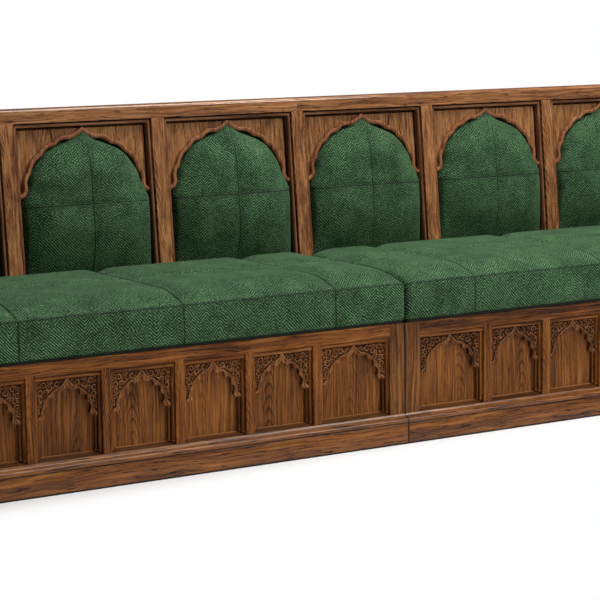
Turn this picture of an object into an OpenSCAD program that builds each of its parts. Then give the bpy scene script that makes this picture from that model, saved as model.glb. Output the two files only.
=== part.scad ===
// Restaurant booth: two panelled seat boxes joined side by side under one raked,
// arcaded back screen, with two lift-off seat cushions and six arched back pads.
// Millimetres. +X runs along the seat, +Y towards the wall, +Z up. The origin is
// on the floor under the middle of the whole booth.

/* [Overall] */
// Width of one place, which is one arched bay of the back
bay_pitch = 467; // [440:1:500]
// Height of the seat boxes without their cushions
box_h = 340; // [320:1:360]
// Depth of the booth from the face frame to the wall
box_depth = 628; // [620:1:680]
// Height of the whole booth
top_z = 942; // [920:1:990]
// Thickness of the back at the seat box's top, from its face to the wall
back_depth = 122; // [118:1:150]
// Lean of the back screen, in degrees
rake = 5.64; // [3:0.1:6]

/* [Face frame] */
// Thickness of the face frame's boards
frame_t = 24; // [20:1:28]
// Width of the stiles at both ends of a seat box
end_stile_w = 50; // [40:1:60]
// Height of the face frame's top rail
top_rail_h = 31; // [25:1:40]
// Height of the face frame's bottom rail
low_rail_h = 84; // [80:1:95]
// Width of the muntins between the panels
muntin_w = 26; // [22:1:34]
// Width of the opening at both ends of a seat box
end_opening_w = 224; // [210:1:240]
// Thickness of the base panels
panel_t = 9; // [6:1:12]
// How far a base panel reaches behind its frame
panel_lap = 8; // [5:1:10]

/* [Base mouldings] */
// Width of the bead around a base panel
bead_w = 8; // [6:1:10]
// Depth of the bead's face behind the face frame
bead_set = 8; // [6:1:10]
// Height of the sloping sill under a base panel
sill_h = 10; // [7:1:13]
// Depth of the carved fret's face behind the face frame
fret_set = 11; // [9:1:14]
// Height of the carved arch from its feet to the panel's top
fret_h = 112; // [100:1:125]
// Margin of wood left over the carved arch's tip
fret_tip = 27; // [22:1:32]
// Width of a colonette
colonette_w = 10; // [8:1:12]

/* [Plinth] */
// Height of the plinth where its moulding meets the face frame
plinth_h = 84; // [78:1:84]
// Thickness of the plinth board, which is how far it stands out
plinth_t = 19.5; // [16:0.5:24]
// Height of the plinth's flat face
plinth_flat = 59; // [50:1:64]
// Height of the plinth's rounded nose above its flat face
plinth_nose = 15; // [11:1:16]

/* [Seat box] */
// Thickness of the plywood ribs and posts
rib_t = 18; // [15:1:21]
// Thickness of the end panels
end_t = 20; // [18:1:24]
// Thickness of the rear cladding
clad_t = 6; // [4:1:9]
// Height of the bearers and wall rails
rail_h = 60; // [50:1:80]
// Thickness of the bearers and wall rails
rail_t = 18; // [15:1:21]
// Radius of the wall screw holes
wall_hole_r = 3.5; // [3:0.25:4.5]
// Depth of the wall screw holes below the seat box's top
wall_hole_drop = 50; // [42:1:60]
// Leg of the triangular glue blocks
block_leg = 28; // [20:1:34]
// Radius of the ganging bolts
bolt_r = 4; // [3:0.5:5]
// Clearance around a ganging bolt in the ribs
bolt_gap = 0.3; // [0.2:0.05:0.5]
// Distance of the front ganging bolts behind the face frame
bolt_front = 80; // [60:1:110]
// Distance of the rear ganging bolts in front of the back screen
bolt_rear = 60; // [50:1:90]
// Depth of the upper ganging bolts below the seat box's top
bolt_drop = 60; // [50:1:90]
// Distance of the bearers in front of the back screen
bearer_gap = 20; // [15:1:40]

/* [Back screen] */
// Width of a back stile
stile_w = 40.6; // [34:0.1:48]
// Thickness of the back stiles and the bottom rail
stile_t = 32; // [30:1:36]
// Height of the back's bottom rail
back_rail_h = 80; // [60:1:90]
// Gap between the seat box and the back's bottom rail
rail_foot = 8; // [6:1:12]
// Thickness of the plywood behind the screen
back_board_t = 6; // [4:1:9]
// Height of the cap rail
cap_h = 39; // [32:1:46]
// Radius of the cap rail's rounded front edge
cap_round = 9; // [5:1:12]
// Width of the bead round a bay
bay_bead_w = 9.5; // [7:0.5:12]
// Gap between a stile and its bead
bay_bead_gap = 4.5; // [3:0.5:6]
// Depth of the bay bead's face behind the stiles
bay_bead_set = 13; // [10:1:16]
// Depth of the spandrel boards' face behind the stiles
spandrel_set = 22; // [19:1:25]
// Width of the groove cut beside the bead
groove_w = 3.5; // [2:0.5:5]
// Depth of the groove cut beside the bead
groove_d = 6; // [3:1:8]
// Rise of the arch from its feet to its tip
arch_rise = 178; // [160:1:195]
// Distance of the arch's tip below the cap rail
arch_drop = 20; // [17:1:26]
// Width of the arch moulding
arch_w = 11; // [9:0.5:13]
// Depth of the arch moulding's face behind the stiles
arch_set = 11; // [9:1:13]

/* [Back pads] */
// Gap between a pad and the beads beside it
pad_gap = 4.5; // [3:0.5:7]
// Gap between a pad and the arch above it
pad_arch_gap = 1.5; // [1:0.5:3]
// Depth of the pad's sewn edge behind the stiles
pad_edge_set = 24; // [23:1:27]
// How far a pad's crown stands out in front of the stiles
pad_crown_out = 36; // [28:1:38]
// Height over which a pad's lower edge swells
pad_lift = 190; // [185:1:220]
// Height over which a pad's head swells
pad_fall = 120; // [100:1:130]
// Depth of the pad's seams in its face
pad_seam_d = 5; // [2:1:7]
// Spread of the pad's cross seam
pad_seam_w = 14; // [10:1:20]
// Height of the pad's cross seam above its lower edge
pad_seam_z = 243; // [220:1:260]
// Thickness of a pad's plywood
pad_board_t = 6; // [4:1:9]
// Depth of the lower foam's face behind the stiles
pad_foam_set = 12; // [11:1:14]
// Thickness of the upper foam, in front of the lower one
pad_foam_rise = 16; // [10:1:18]
// Inset of the upper foam from a pad's outline
pad_crown_in = 85; // [80:1:95]
// Inset of the foam from a pad's outline
pad_foam_in = 48; // [46:1:56]
// Inset of the plywood from a pad's outline
pad_board_in = 5; // [4:1:8]
// Radius of the screws that hold the pads
screw_r = 2; // [1.5:0.25:2.5]
// Height of the lower screws above a pad's lower edge
screw_rise = 60; // [50:1:90]

/* [Seat cushions] */
// How far a cushion stands out in front of the face frame
cushion_over = 12; // [8:1:18]
// Height of the shadow gap under a cushion's cover
cushion_lift = 3; // [2:0.5:5]
// Height of the sewn front edge above the seat box
cushion_edge = 112; // [95:1:125]
// Rise of the crown above the sewn front edge
cushion_crown = 42; // [30:1:50]
// Distance from the front over which the seat rises to its crown
crown_w = 140; // [110:1:170]
// Distance from a cushion's end over which it rises to its crown
end_w = 90; // [70:1:120]
// Gap between the two cushions
cushion_split = 5; // [4:0.5:8]
// Gap between a cushion and the back screen
cushion_back_gap = 5; // [4:0.5:8]
// Distance of the lengthwise seam from the face frame
cushion_seam_y = 297; // [270:1:320]
// Depth of the sewn seams
cushion_seam_d = 9; // [4:1:11]
// Spread of the sewn seams
seam_spread = 26; // [18:1:34]
// Radius of the cushion's upright corners
cushion_round = 16; // [10:1:22]
// Thickness of the seat board
seat_board_t = 18; // [15:1:21]
// Inset of the seat board from the cushion's outline
seat_board_in = 14; // [10:1:18]
// Inset of the seat foam from the cushion's outline
seat_foam_in = 24; // [20:1:30]
// Depth of the blocks that locate the seat between the ribs
seat_block_h = 20; // [14:1:26]
// Length of the blocks that locate the seat
seat_block_l = 120; // [90:1:150]
// Clearance between a locating block and what it drops beside
seat_block_gap = 3; // [2:0.5:5]

/* [Hidden] */
places = 3;
sides = [-1, 1];
panels = 6;
box_len = places * bay_pitch + end_t;
face_y = (max(cushion_over, plinth_t) - box_depth) / 2;
screen_set = box_depth - back_depth;
rail_z = box_h - top_rail_h;
inner_opening_w = (box_len - 2 * end_stile_w - (panels - 1) * muntin_w - 2 * end_opening_w) / (panels - 2);
function opening_w(i) = (i == 0 || i == panels - 1) ? end_opening_w : inner_opening_w;
function opening_x(i) = (i == 0) ? end_stile_w : opening_x(i - 1) + opening_w(i - 1) + muntin_w;

// Heights and depths of the back screen
cap_z = top_z - cap_h;
function along(z) = (z - box_h) / cos(rake);
function screen_y(z, set = 0) = screen_set + (z - box_h) * tan(rake) + set / cos(rake);
function under_cap(set) = (cap_z - box_h + set * sin(rake)) / cos(rake);
post_set = stile_t + back_board_t;
rear_y = box_depth - clad_t;
bay_foot = rail_foot + back_rail_h;
bay_top = along(cap_z);
bay_half = (bay_pitch - stile_w) / 2;
screw_bore_r = screw_r + 0.05;
bead_in = bay_half - bay_bead_gap - bay_bead_w;
bead_top = bay_top - bay_bead_gap;
board_top = bead_top - bay_bead_w;
ribs_x = [0, bay_pitch - rib_t / 2, 2 * bay_pitch - rib_t / 2];

// The arches: cusps between the lobes, as shares of the half span and of the rise,
// and how far each lobe sags, as a share of the rise
back_cusps = [[0, 1], [0.205, 0.873], [0.445, 0.774], [0.66, 0.628],
    [0.85, 0.342], [0.91, 0.115], [1, -0.02]];
back_sags = [-0.015, 0.04, 0.04, 0.042, 0.035, -0.03];
fret_cusps = [[0, 1], [0.208, 0.833], [0.46, 0.69], [0.66, 0.455], [0.755, 0.105], [0.88, 0]];
fret_sags = [-0.03, 0.075, 0.08, 0.07, -0.02];
lobe_steps = 5;
arch_tip = bay_top - arch_drop;
arch_foot = arch_tip - arch_rise;

// The cushions' outlines and the stations of their forms
cushion_z0 = box_h + cushion_lift;
cushion_edge_z = box_h + cushion_edge;
cushion_x0 = cushion_split / 2;
cushion_x1 = box_len - cushion_split / 2;
seams_x = [for (i = [0 : places - 1]) (i + 0.5) * bay_pitch];

// Colours
oak = "#7d4f2b";
oak_pale = "#8f5d34";
oak_dark = "#68401f";
plywood = "#c8a676";
green = "#37593b";
foam = "#e6dcae";
steel = "#9aa0a6";

// Places children in the right-hand seat box, or mirrored in the left-hand one
module at_side(side) {
    translate([0, face_y, 0])
        mirror([side < 0 ? 1 : 0, 0, 0])
            children();
}

// Places children on the raked screen: y behind the stiles' face, z up the slope
module on_screen() {
    translate([0, face_y + screen_set, box_h])
        rotate([-rake, 0, 0])
            children();
}

module box(low, high) {
    translate(low)
        cube(high - low);
}

// An upright board cut to an outline in x and z, from y0 to y1
module cut_board(y0, y1) {
    translate([0, y1, 0])
        rotate([90, 0, 0])
            linear_extrude(y1 - y0)
                children();
}

// A length along x of an outline drawn in y and z
module run_x(x0, x1) {
    translate([x0, 0, 0])
        rotate([90, 0, 90])
            linear_extrude(x1 - x0)
                children();
}

// Points from p towards q on a curve that bulges by sag, without q itself
function bow(p, q, sag) =
    let (d = q - p, side = [-d[1], d[0]] / norm(d))
    [for (i = [0 : lobe_steps - 1])
        let (t = i / lobe_steps)
        p + d * t + side * sag * 4 * t * (1 - t)];

// Half an arch from its tip to its foot, for a half span and a rise
function half_arch(cusps, sags, half, rise) =
    let (c = [for (s = cusps) [s[0] * half, s[1] * rise]])
    concat([for (i = [0 : len(sags) - 1]) each bow(c[i], c[i + 1], sags[i] * rise)], [c[len(c) - 1]]);

function flip_x(pts) = [for (i = [len(pts) - 1 : -1 : 0]) [-pts[i][0], pts[i][1]]];
function drop_last(pts) = [for (i = [0 : len(pts) - 2]) pts[i]];
function whole_arch(half) = concat(drop_last(flip_x(half)), half);

// A line beside a path, by the given distance
function beside(pts, d) =
    [for (i = [0 : len(pts) - 1])
        let (a = pts[max(i - 1, 0)], b = pts[min(i + 1, len(pts) - 1)], t = (b - a) / norm(b - a))
        pts[i] + [-t[1], t[0]] * d];
function dip(d, w) = exp(-pow(d / w, 2));
function backwards(pts) = [for (i = [len(pts) - 1 : -1 : 0]) pts[i]];

back_half = half_arch(back_cusps, back_sags, bead_in, arch_rise);

// A closed form through rings of points, with a fan over each end
module loft(rings) {
    n = len(rings);
    m = len(rings[0]);
    first = n * m;
    one = [for (i = [0 : m - 1]) 1];
    ends = [one * rings[0] / m, one * rings[n - 1] / m];
    walls = [for (i = [0 : n - 2]) for (j = [0 : m - 1])
        let (a = i * m + j, b = i * m + (j + 1) % m)
        each [[a, b, b + m], [a, b + m, a + m]]];
    starts = [for (j = [0 : m - 1]) [first, (j + 1) % m, j]];
    stops = [for (j = [0 : m - 1]) [first + 1, first - m + j, first - m + (j + 1) % m]];
    polyhedron(points = concat([for (r = rings) each r], ends), faces = concat(walls, starts, stops));
}

// Seat boxes: plinth

module plinth_outline() {
    nose_r = plinth_nose / 2;
    nose_y = nose_r - plinth_t;
    polygon(concat(
        [[0, 0], [-plinth_t + 1.5, 0], [-plinth_t + 1.5, plinth_flat - 1.5], [-plinth_t + 3, plinth_flat]],
        [for (a = [-90 : 15 : 90]) [nose_y - nose_r * cos(a), plinth_flat + nose_r + nose_r * sin(a)]],
        [[-3, plinth_flat + plinth_nose + 1], [-1.5, plinth_h], [0, plinth_h]]));
}

module plinth_front(side) {
    color(oak_dark)
        at_side(side)
            difference() {
                run_x(0, box_len + plinth_t)
                    plinth_outline();
                translate([box_len, 0, -1])
                    rotate([0, 0, -45])
                        cube([2 * plinth_t, 2 * plinth_t, plinth_h + 2]);
            }
}

module plinth_returns() {
    color(oak_dark)
        for (side = sides)
            at_side(side)
                difference() {
                    translate([box_len, -plinth_t, 0])
                        rotate([0, 0, 90])
                            run_x(0, box_depth + plinth_t)
                                plinth_outline();
                    translate([box_len, 0, -1])
                        rotate([0, 0, -45])
                            mirror([0, 1, 0])
                                cube([2 * plinth_t, 2 * plinth_t, plinth_h + 2]);
                }
}

// Seat boxes: face frame, panels and their mouldings

module base_stiles(side) {
    color(oak)
        at_side(side)
            for (x = [0, box_len - end_stile_w])
                box([x, 0, 0], [x + end_stile_w, frame_t, box_h]);
}

module base_top_rail(side) {
    color(oak)
        at_side(side)
            box([end_stile_w, 0, rail_z], [box_len - end_stile_w, frame_t, box_h]);
}

module base_bottom_rail(side) {
    color(oak)
        at_side(side)
            box([end_stile_w, 0, 0], [box_len - end_stile_w, frame_t, low_rail_h]);
}

module base_muntins(side) {
    color(oak)
        at_side(side)
            for (i = [1 : panels - 1])
                box([opening_x(i) - muntin_w, 0, low_rail_h], [opening_x(i), frame_t, rail_z]);
}

module base_panels(side) {
    color(oak_pale)
        at_side(side)
            for (i = [0 : panels - 1])
                box([opening_x(i) - panel_lap, frame_t, low_rail_h - panel_lap],
                    [opening_x(i) + opening_w(i) + panel_lap, frame_t + panel_t, rail_z + panel_lap]);
}

module base_beads(side) {
    color(oak_dark)
        at_side(side)
            for (i = [0 : panels - 1]) {
                x0 = opening_x(i);
                x1 = x0 + opening_w(i);
                for (x = [x0, x1 - bead_w])
                    box([x, bead_set, low_rail_h], [x + bead_w, frame_t, rail_z]);
                box([x0 + bead_w, bead_set, rail_z - bead_w], [x1 - bead_w, frame_t, rail_z]);
                run_x(x0 + bead_w, x1 - bead_w)
                    polygon([[2, low_rail_h], [frame_t, low_rail_h], [frame_t, low_rail_h + sill_h]]);
            }
}

module base_arch_frets(side) {
    top = rail_z - bead_w;
    color(oak)
        at_side(side)
            for (i = [0 : panels - 1]) {
                half = opening_w(i) / 2 - bead_w;
                arch = half_arch(fret_cusps, fret_sags, half, fret_h - fret_tip);
                head = [[half, 0], [half, fret_h], [-half, fret_h], [-half, 0]];
                translate([opening_x(i) + opening_w(i) / 2, 0, top - fret_h])
                    cut_board(fret_set, frame_t)
                        polygon(concat(whole_arch(arch), head));
            }
}

module base_colonettes(side) {
    top = rail_z - bead_w - fret_h;
    color(oak)
        at_side(side)
            for (i = [0 : panels - 1]) {
                x0 = opening_x(i) + bead_w;
                x1 = opening_x(i) + opening_w(i) - bead_w - colonette_w;
                for (x = [x0, x1])
                    box([x, fret_set + 2, low_rail_h + sill_h], [x + colonette_w, frame_t, top]);
            }
}

// Seat boxes: carcass

module bolt_places() {
    for (y = [frame_t + bolt_front, screen_set - bolt_rear])
        for (z = [box_h / 3, box_h - bolt_drop])
            translate([0, y, z])
                rotate([0, 90, 0])
                    children();
}

module seat_ribs(side) {
    front = frame_t + panel_t;
    color(plywood)
        at_side(side)
            difference() {
                for (x = ribs_x)
                    box([x, x == 0 ? frame_t : front, 0], [x + rib_t, screen_y(box_h, post_set), box_h]);
                bolt_places()
                    cylinder(h = 4 * rib_t, r = bolt_r + bolt_gap, center = true, $fn = 48);
            }
}

// Children between each pair of ribs, given where the gap starts and how wide it is
module between_ribs() {
    for (i = [0 : places - 1]) {
        x0 = ribs_x[i] + rib_t;
        x1 = (i < places - 1) ? ribs_x[i + 1] : box_len - end_t;
        $gap_w = x1 - x0;
        translate([x0, 0, 0])
            children();
    }
}

module seat_bearers(side) {
    y1 = screen_y(box_h) - bearer_gap;
    color(plywood)
        at_side(side)
            between_ribs()
                box([0, y1 - rail_t, box_h - rail_h], [$gap_w, y1, box_h]);
}

module wall_holes() {
    for (x = [seams_x[0], seams_x[places - 1]])
        translate([x, rear_y - rail_t - 1, box_h - wall_hole_drop])
            rotate([-90, 0, 0])
                cylinder(h = rail_t + clad_t + 2, r = wall_hole_r, $fn = 48);
}

module wall_rails(side) {
    hole_z = box_h - wall_hole_drop;
    color(plywood)
        at_side(side)
            difference() {
                between_ribs()
                    box([0, rear_y - rail_t, hole_z - rail_h / 2], [$gap_w, rear_y, hole_z + rail_h / 2]);
                wall_holes();
            }
}

module glue_blocks(side) {
    front = frame_t + panel_t;
    color(plywood)
        at_side(side)
            between_ribs()
                translate([0, front, low_rail_h + panel_lap])
                    linear_extrude(rail_z - low_rail_h - 2 * panel_lap)
                        polygon([[0, 0], [block_leg, 0], [0, block_leg]]);
}

module rear_cladding(side) {
    color(plywood)
        at_side(side)
            difference() {
                box([0, rear_y, 0], [box_len - end_t, box_depth, cap_z]);
                wall_holes();
            }
}

module back_posts(side) {
    knee = screen_y(box_h, post_set);
    color(plywood)
        at_side(side)
            for (x = ribs_x)
                run_x(x, x + rib_t)
                    polygon([[knee, 0], [rear_y, 0], [rear_y, cap_z], [screen_y(cap_z, post_set), cap_z],
                        [knee, box_h]]);
}

module lower_end_panels() {
    color(oak)
        for (side = sides)
            at_side(side)
                box([box_len - end_t, frame_t, 0], [box_len, box_depth, box_h]);
}

module upper_end_panels() {
    color(oak)
        for (side = sides)
            at_side(side)
                run_x(box_len - end_t, box_len)
                    polygon([[screen_y(box_h), box_h], [box_depth, box_h], [box_depth, cap_z],
                        [screen_y(cap_z), cap_z]]);
}

module gang_bolts() {
    color(steel)
        translate([0, face_y, 0])
            bolt_places() {
                translate([0, 0, -rib_t - bolt_r])
                    cylinder(h = 2 * rib_t + 4 * bolt_r, r = bolt_r, $fn = 48);
                translate([0, 0, -rib_t - bolt_r * 1.3])
                    cylinder(h = bolt_r * 1.3, r = bolt_r * 1.85, $fn = 6);
            }
}

module gang_nuts() {
    color(steel)
        translate([0, face_y, 0])
            bolt_places()
                translate([0, 0, rib_t])
                    difference() {
                        cylinder(h = bolt_r * 1.6, r = bolt_r * 1.85, $fn = 6);
                        translate([0, 0, -1])
                            cylinder(h = bolt_r * 3, r = bolt_r + 0.05, $fn = 48);
                    }
}

// Back screen

module cap_rail() {
    round_z = top_z - cap_round;
    front = screen_y(round_z);
    color(oak_pale)
        translate([0, face_y, 0])
            run_x(-box_len, box_len)
                polygon(concat(
                    [[box_depth, top_z], [box_depth, cap_z], [screen_y(cap_z), cap_z]],
                    [for (a = [0 : 15 : 90])
                        [front + cap_round * (1 - cos(a)), round_z + cap_round * sin(a)]]));
}

module back_stiles() {
    color(oak_pale)
        on_screen()
            for (i = [-places : places]) {
                low = (i == -places) ? 0 : stile_w / 2;
                high = (i == places) ? 0 : stile_w / 2;
                run_x(i * bay_pitch - low, i * bay_pitch + high)
                    polygon([[0, bay_foot], [stile_t, bay_foot],
                        [stile_t, under_cap(stile_t)], [0, bay_top]]);
            }
}

module back_bottom_rail() {
    half = places * bay_pitch;
    color(oak_pale)
        on_screen()
            box([-half, 0, rail_foot], [half, stile_t, bay_foot]);
}

module back_boards() {
    half = places * bay_pitch;
    color(plywood)
        on_screen()
            difference() {
                for (x = [-half, 0])
                    run_x(x, x + half)
                        polygon([[stile_t, rail_foot], [post_set, rail_foot],
                            [post_set, under_cap(post_set)], [stile_t, under_cap(stile_t)]]);
                screw_places()
                    cylinder(h = 4 * back_board_t, r = screw_bore_r, center = true, $fn = 24);
            }
}

// Children in each of the six bays, on the bay's centre line
module in_bays() {
    for (i = [-places : places - 1])
        translate([(i + 0.5) * bay_pitch, 0, 0])
            children();
}

module back_beads() {
    color(oak)
        on_screen()
            in_bays() {
                for (x = [-bead_in - bay_bead_w, bead_in])
                    box([x, bay_bead_set, bay_foot], [x + bay_bead_w, stile_t, bead_top]);
                box([-bead_in, bay_bead_set, board_top], [bead_in, stile_t, bead_top]);
            }
}

module half_spandrel() {
    groove_y = spandrel_set + groove_d;
    difference() {
        cut_board(spandrel_set, stile_t)
            translate([0, arch_foot])
                polygon(concat(back_half, [[bead_in, board_top - arch_foot], [0, board_top - arch_foot]]));
        box([-1, 0, board_top - groove_w], [bead_in + 1, groove_y, board_top + 1]);
        box([bead_in - groove_w, 0, arch_foot + arch_w], [bead_in + 1, groove_y, board_top + 1]);
    }
}

module back_spandrels() {
    color(oak_pale)
        on_screen()
            in_bays()
                for (side = [0, 1])
                    mirror([side, 0, 0])
                        half_spandrel();
}

module back_arch_mouldings() {
    path = whole_arch(back_half);
    color(oak_pale)
        on_screen()
            in_bays()
                intersection() {
                    cut_board(arch_set, spandrel_set)
                        translate([0, arch_foot])
                            polygon(concat(beside(path, arch_w / 2), backwards(beside(path, -arch_w / 2))));
                    box([-bead_in, 0, arch_foot - arch_w], [bead_in, stile_t, board_top]);
                }
}

// Back pads

pad_z0 = bay_foot + 2;
pad_half = bead_in - pad_gap;

// Inside of the arch moulding: cusp 5 is the lowest, steps 3 and 2 lead into the tip
arch_inside = beside(back_half, -arch_w / 2 - pad_arch_gap);
inside_steps = concat([for (i = [5 : -1 : 1]) i * lobe_steps], [3, 2]);
pad_crest = [for (i = inside_steps) [arch_foot + arch_inside[i][1], arch_inside[i][0]]];
pad_shoulder = [[arch_foot - arch_w, pad_half], [arch_foot, pad_crest[0][1] - 1]];
pad_tip = [[pad_crest[6][0] + 3, pad_crest[6][1] / 2]];

// Rows of a pad from its lower edge to its tip: height and half width
pad_heights = concat([0, 6, 30], [for (share = [0.25, 0.41, 0.58, 0.74]) share * pad_seam_z],
    [for (d = [-1.15, 0, 1.15]) pad_seam_z + d * pad_seam_w]);
pad_levels = concat([for (h = pad_heights) [pad_z0 + h, pad_half]], pad_shoulder, pad_crest, pad_tip);
pad_columns = [-1, -0.94, -0.8, -0.55, -0.25, -0.07, 0, 0.07, 0.25, 0.55, 0.8, 0.94, 1];

// Depth of a pad's face at a share of its half width and at a height
function pad_depth(u, z) =
    let (low = z - pad_z0, high = arch_tip + 6 - z,
        lift = sin(90 * min(low, pad_lift) / pad_lift),
        fall = sin(90 * min(high, pad_fall) / pad_fall),
        body = sqrt(1 - pow(u, 4)) * lift * fall,
        cross = max(dip(u, 0.09), dip(z - pad_z0 - pad_seam_z, pad_seam_w)),
        seam = pad_seam_d * body * cross)
    pad_edge_set - (pad_edge_set + pad_crown_out) * body + seam;

module pad_form() {
    loft([for (l = pad_levels)
        concat([for (u = pad_columns) [-u * l[1], pad_depth(u, l[0]), l[0]]],
            [[-l[1], stile_t, l[0]], [l[1], stile_t, l[0]]])]);
}

// Outline of what is inside a pad, drawn in by the given margin
module pad_core(margin) {
    low = [[pad_half - margin, pad_z0 + margin], [pad_half - margin, pad_shoulder[0][0] - margin]];
    high = [for (i = [0 : 3]) [pad_crest[i][1] - margin, pad_crest[i][0] - margin]];
    half = concat(low, high);
    polygon(concat(half, flip_x(half)));
}

// The lower foam and the smaller one glued on it
module pad_foam() {
    cut_board(pad_foam_set, stile_t - pad_board_t)
        pad_core(pad_foam_in);
    cut_board(pad_foam_set - pad_foam_rise, pad_foam_set + 1)
        pad_core(pad_crown_in);
}

module pad_inside() {
    pad_foam();
    cut_board(stile_t - pad_board_t, stile_t + 1)
        pad_core(pad_board_in);
}

module back_pad(i) {
    color(green)
        on_screen()
            translate([(i - places - 0.5) * bay_pitch, 0, 0])
                difference() {
                    pad_form();
                    pad_inside();
                }
}

module pad_foams() {
    color(foam)
        on_screen()
            in_bays()
                pad_foam();
}

module screw_places() {
    in_bays()
        for (x = [-bead_in / 2, bead_in / 2])
            for (z = [pad_z0 + screw_rise, arch_foot])
                translate([x, stile_t + back_board_t, z])
                    rotate([90, 0, 0])
                        children();
}

module pad_boards() {
    bore_h = 4 * (back_board_t + pad_board_t);
    color(plywood)
        on_screen()
            difference() {
                in_bays()
                    cut_board(stile_t - pad_board_t, stile_t)
                        pad_core(pad_board_in);
                screw_places()
                    cylinder(h = bore_h, r = screw_bore_r, center = true, $fn = 24);
            }
}

module pad_screws() {
    color(steel)
        on_screen()
            screw_places() {
                cylinder(h = back_board_t + pad_board_t - 0.5, r = screw_r, $fn = 24);
                translate([0, 0, -screw_r])
                    cylinder(h = screw_r, r = 2 * screw_r, $fn = 24);
            }
}

// Seats

module seat_board(side) {
    color(plywood)
        at_side(side)
            box([cushion_x0 + seat_board_in, seat_board_in - cushion_over, box_h],
                [cushion_x1 - seat_board_in, screen_y(box_h) - cushion_back_gap - seat_board_in,
                    box_h + seat_board_t]);
}

module seat_blocks(side) {
    y0 = frame_t + panel_t + block_leg + 3 * seat_block_gap;
    color(plywood)
        at_side(side)
            for (x = [ribs_x[1] + rib_t + seat_block_gap, ribs_x[2] - seat_block_gap - 2 * rib_t])
                box([x, y0, box_h - seat_block_h], [x + 2 * rib_t, y0 + seat_block_l, box_h]);
}

module foam_space(side, z0) {
    at_side(side)
        box([cushion_x0 + seat_foam_in, seat_foam_in - cushion_over, z0],
            [cushion_x1 - seat_foam_in, screen_y(box_h) - cushion_back_gap - seat_foam_in,
                cushion_edge_z - seat_foam_in]);
}

module seat_foam(side) {
    color(foam)
        foam_space(side, box_h + seat_board_t);
}

function ease(d, w) = (d >= w) ? 1 : 1 - pow(1 - max(d, 0) / w, 2);
function end_gap(x) = min(x - cushion_x0, cushion_x1 - x);
function corner_in(d) =
    (d >= cushion_round) ? 0 : cushion_round * (1 - sqrt(1 - pow(1 - d / cushion_round, 2)));

// How much of the crown stands at a distance from the front and from the ends
function crown_share(x, y) =
    ease(y + cushion_over, crown_w) * (0.5 + 0.5 * ease(end_gap(x), end_w));
function seam_share(x, y) =
    max(0.75 * max([for (s = seams_x) dip(x - s, seam_spread)]), dip(y - cushion_seam_y, seam_spread));
function seat_z(x, y) =
    cushion_edge_z + (cushion_crown - cushion_seam_d * seam_share(x, y)) * crown_share(x, y);

front_wall = [[12, 0], [4, 6], [1, 20], [0, 50], [1.5, 85]];
top_steps = [0.02, 0.06, 0.13, 0.22, 0.34, 0.46];
rear_steps = [0.12, 0.35, 0.65, 0.9];

// One section of a cushion at x: up the front, over the top and down the back
function seat_ring(x) =
    let (inset = corner_in(end_gap(x)),
        front = inset - cushion_over,
        rear_z = cushion_edge_z + cushion_crown * 0.8 - inset,
        rear = screen_y(rear_z) - cushion_back_gap - inset,
        foot = screen_y(cushion_z0) - cushion_back_gap - inset,
        ys = concat([front + 3],
            [for (s = top_steps) front + 3 + s * (cushion_seam_y - front) * 2],
            [for (d = [-14, 0, 14]) cushion_seam_y + d],
            [for (s = rear_steps) cushion_seam_y + 14 + s * (rear - cushion_seam_y - 24)]))
    concat(
        [for (w = front_wall) [x, front + w[0], cushion_z0 + w[1]]],
        [for (y = ys) [x, y, seat_z(x, y) - inset]],
        [[x, rear, rear_z - 8], [x, foot + 2, cushion_z0 + 30], [x, foot, cushion_z0]]);

end_stations = [0, 1.5, 5, 10, 16, 34, 60, 90];
seam_stations = [-34, -14, 0, 14, 34];
seat_stations = concat(
    [for (d = end_stations) cushion_x0 + d],
    [for (i = [0 : places - 1]) each concat(
        [for (d = seam_stations) seams_x[i] + d],
        (i < places - 1) ? [for (t = [0.25, 0.5, 0.75]) seams_x[i] + t * bay_pitch] : [])],
    [for (i = [len(end_stations) - 1 : -1 : 0]) cushion_x1 - end_stations[i]]);

module seat_cover(side) {
    color(green)
        difference() {
            at_side(side)
                loft([for (x = seat_stations) seat_ring(x)]);
            foam_space(side, 0);
            seat_board(side);
        }
}

plinth_front(-1);  // plinth_front_left
plinth_front(1);  // plinth_front_right
plinth_returns();
base_stiles(-1);  // base_stiles_left
base_stiles(1);  // base_stiles_right
base_top_rail(-1);  // base_top_rail_left
base_top_rail(1);  // base_top_rail_right
base_bottom_rail(-1);  // base_bottom_rail_left
base_bottom_rail(1);  // base_bottom_rail_right
base_muntins(-1);  // base_muntins_left
base_muntins(1);  // base_muntins_right
base_panels(-1);  // base_panels_left
base_panels(1);  // base_panels_right
base_beads(-1);  // base_beads_left
base_beads(1);  // base_beads_right
base_arch_frets(-1);  // base_arch_frets_left
base_arch_frets(1);  // base_arch_frets_right
base_colonettes(-1);  // base_colonettes_left
base_colonettes(1);  // base_colonettes_right
seat_ribs(-1);  // seat_ribs_left
seat_ribs(1);  // seat_ribs_right
seat_bearers(-1);  // seat_bearers_left
seat_bearers(1);  // seat_bearers_right
wall_rails(-1);  // wall_rails_left
wall_rails(1);  // wall_rails_right
glue_blocks(-1);  // glue_blocks_left
glue_blocks(1);  // glue_blocks_right
rear_cladding(-1);  // rear_cladding_left
rear_cladding(1);  // rear_cladding_right
back_posts(-1);  // back_posts_left
back_posts(1);  // back_posts_right
lower_end_panels();
upper_end_panels();
gang_bolts();
gang_nuts();
cap_rail();
back_stiles();
back_bottom_rail();
back_boards();
back_spandrels();
back_beads();
back_arch_mouldings();
back_pad(1);  // back_pad_1
back_pad(2);  // back_pad_2
back_pad(3);  // back_pad_3
back_pad(4);  // back_pad_4
back_pad(5);  // back_pad_5
back_pad(6);  // back_pad_6
pad_foams();
pad_boards();
pad_screws();
seat_board(-1);  // seat_board_left
seat_board(1);  // seat_board_right
seat_blocks(-1);  // seat_blocks_left
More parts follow.
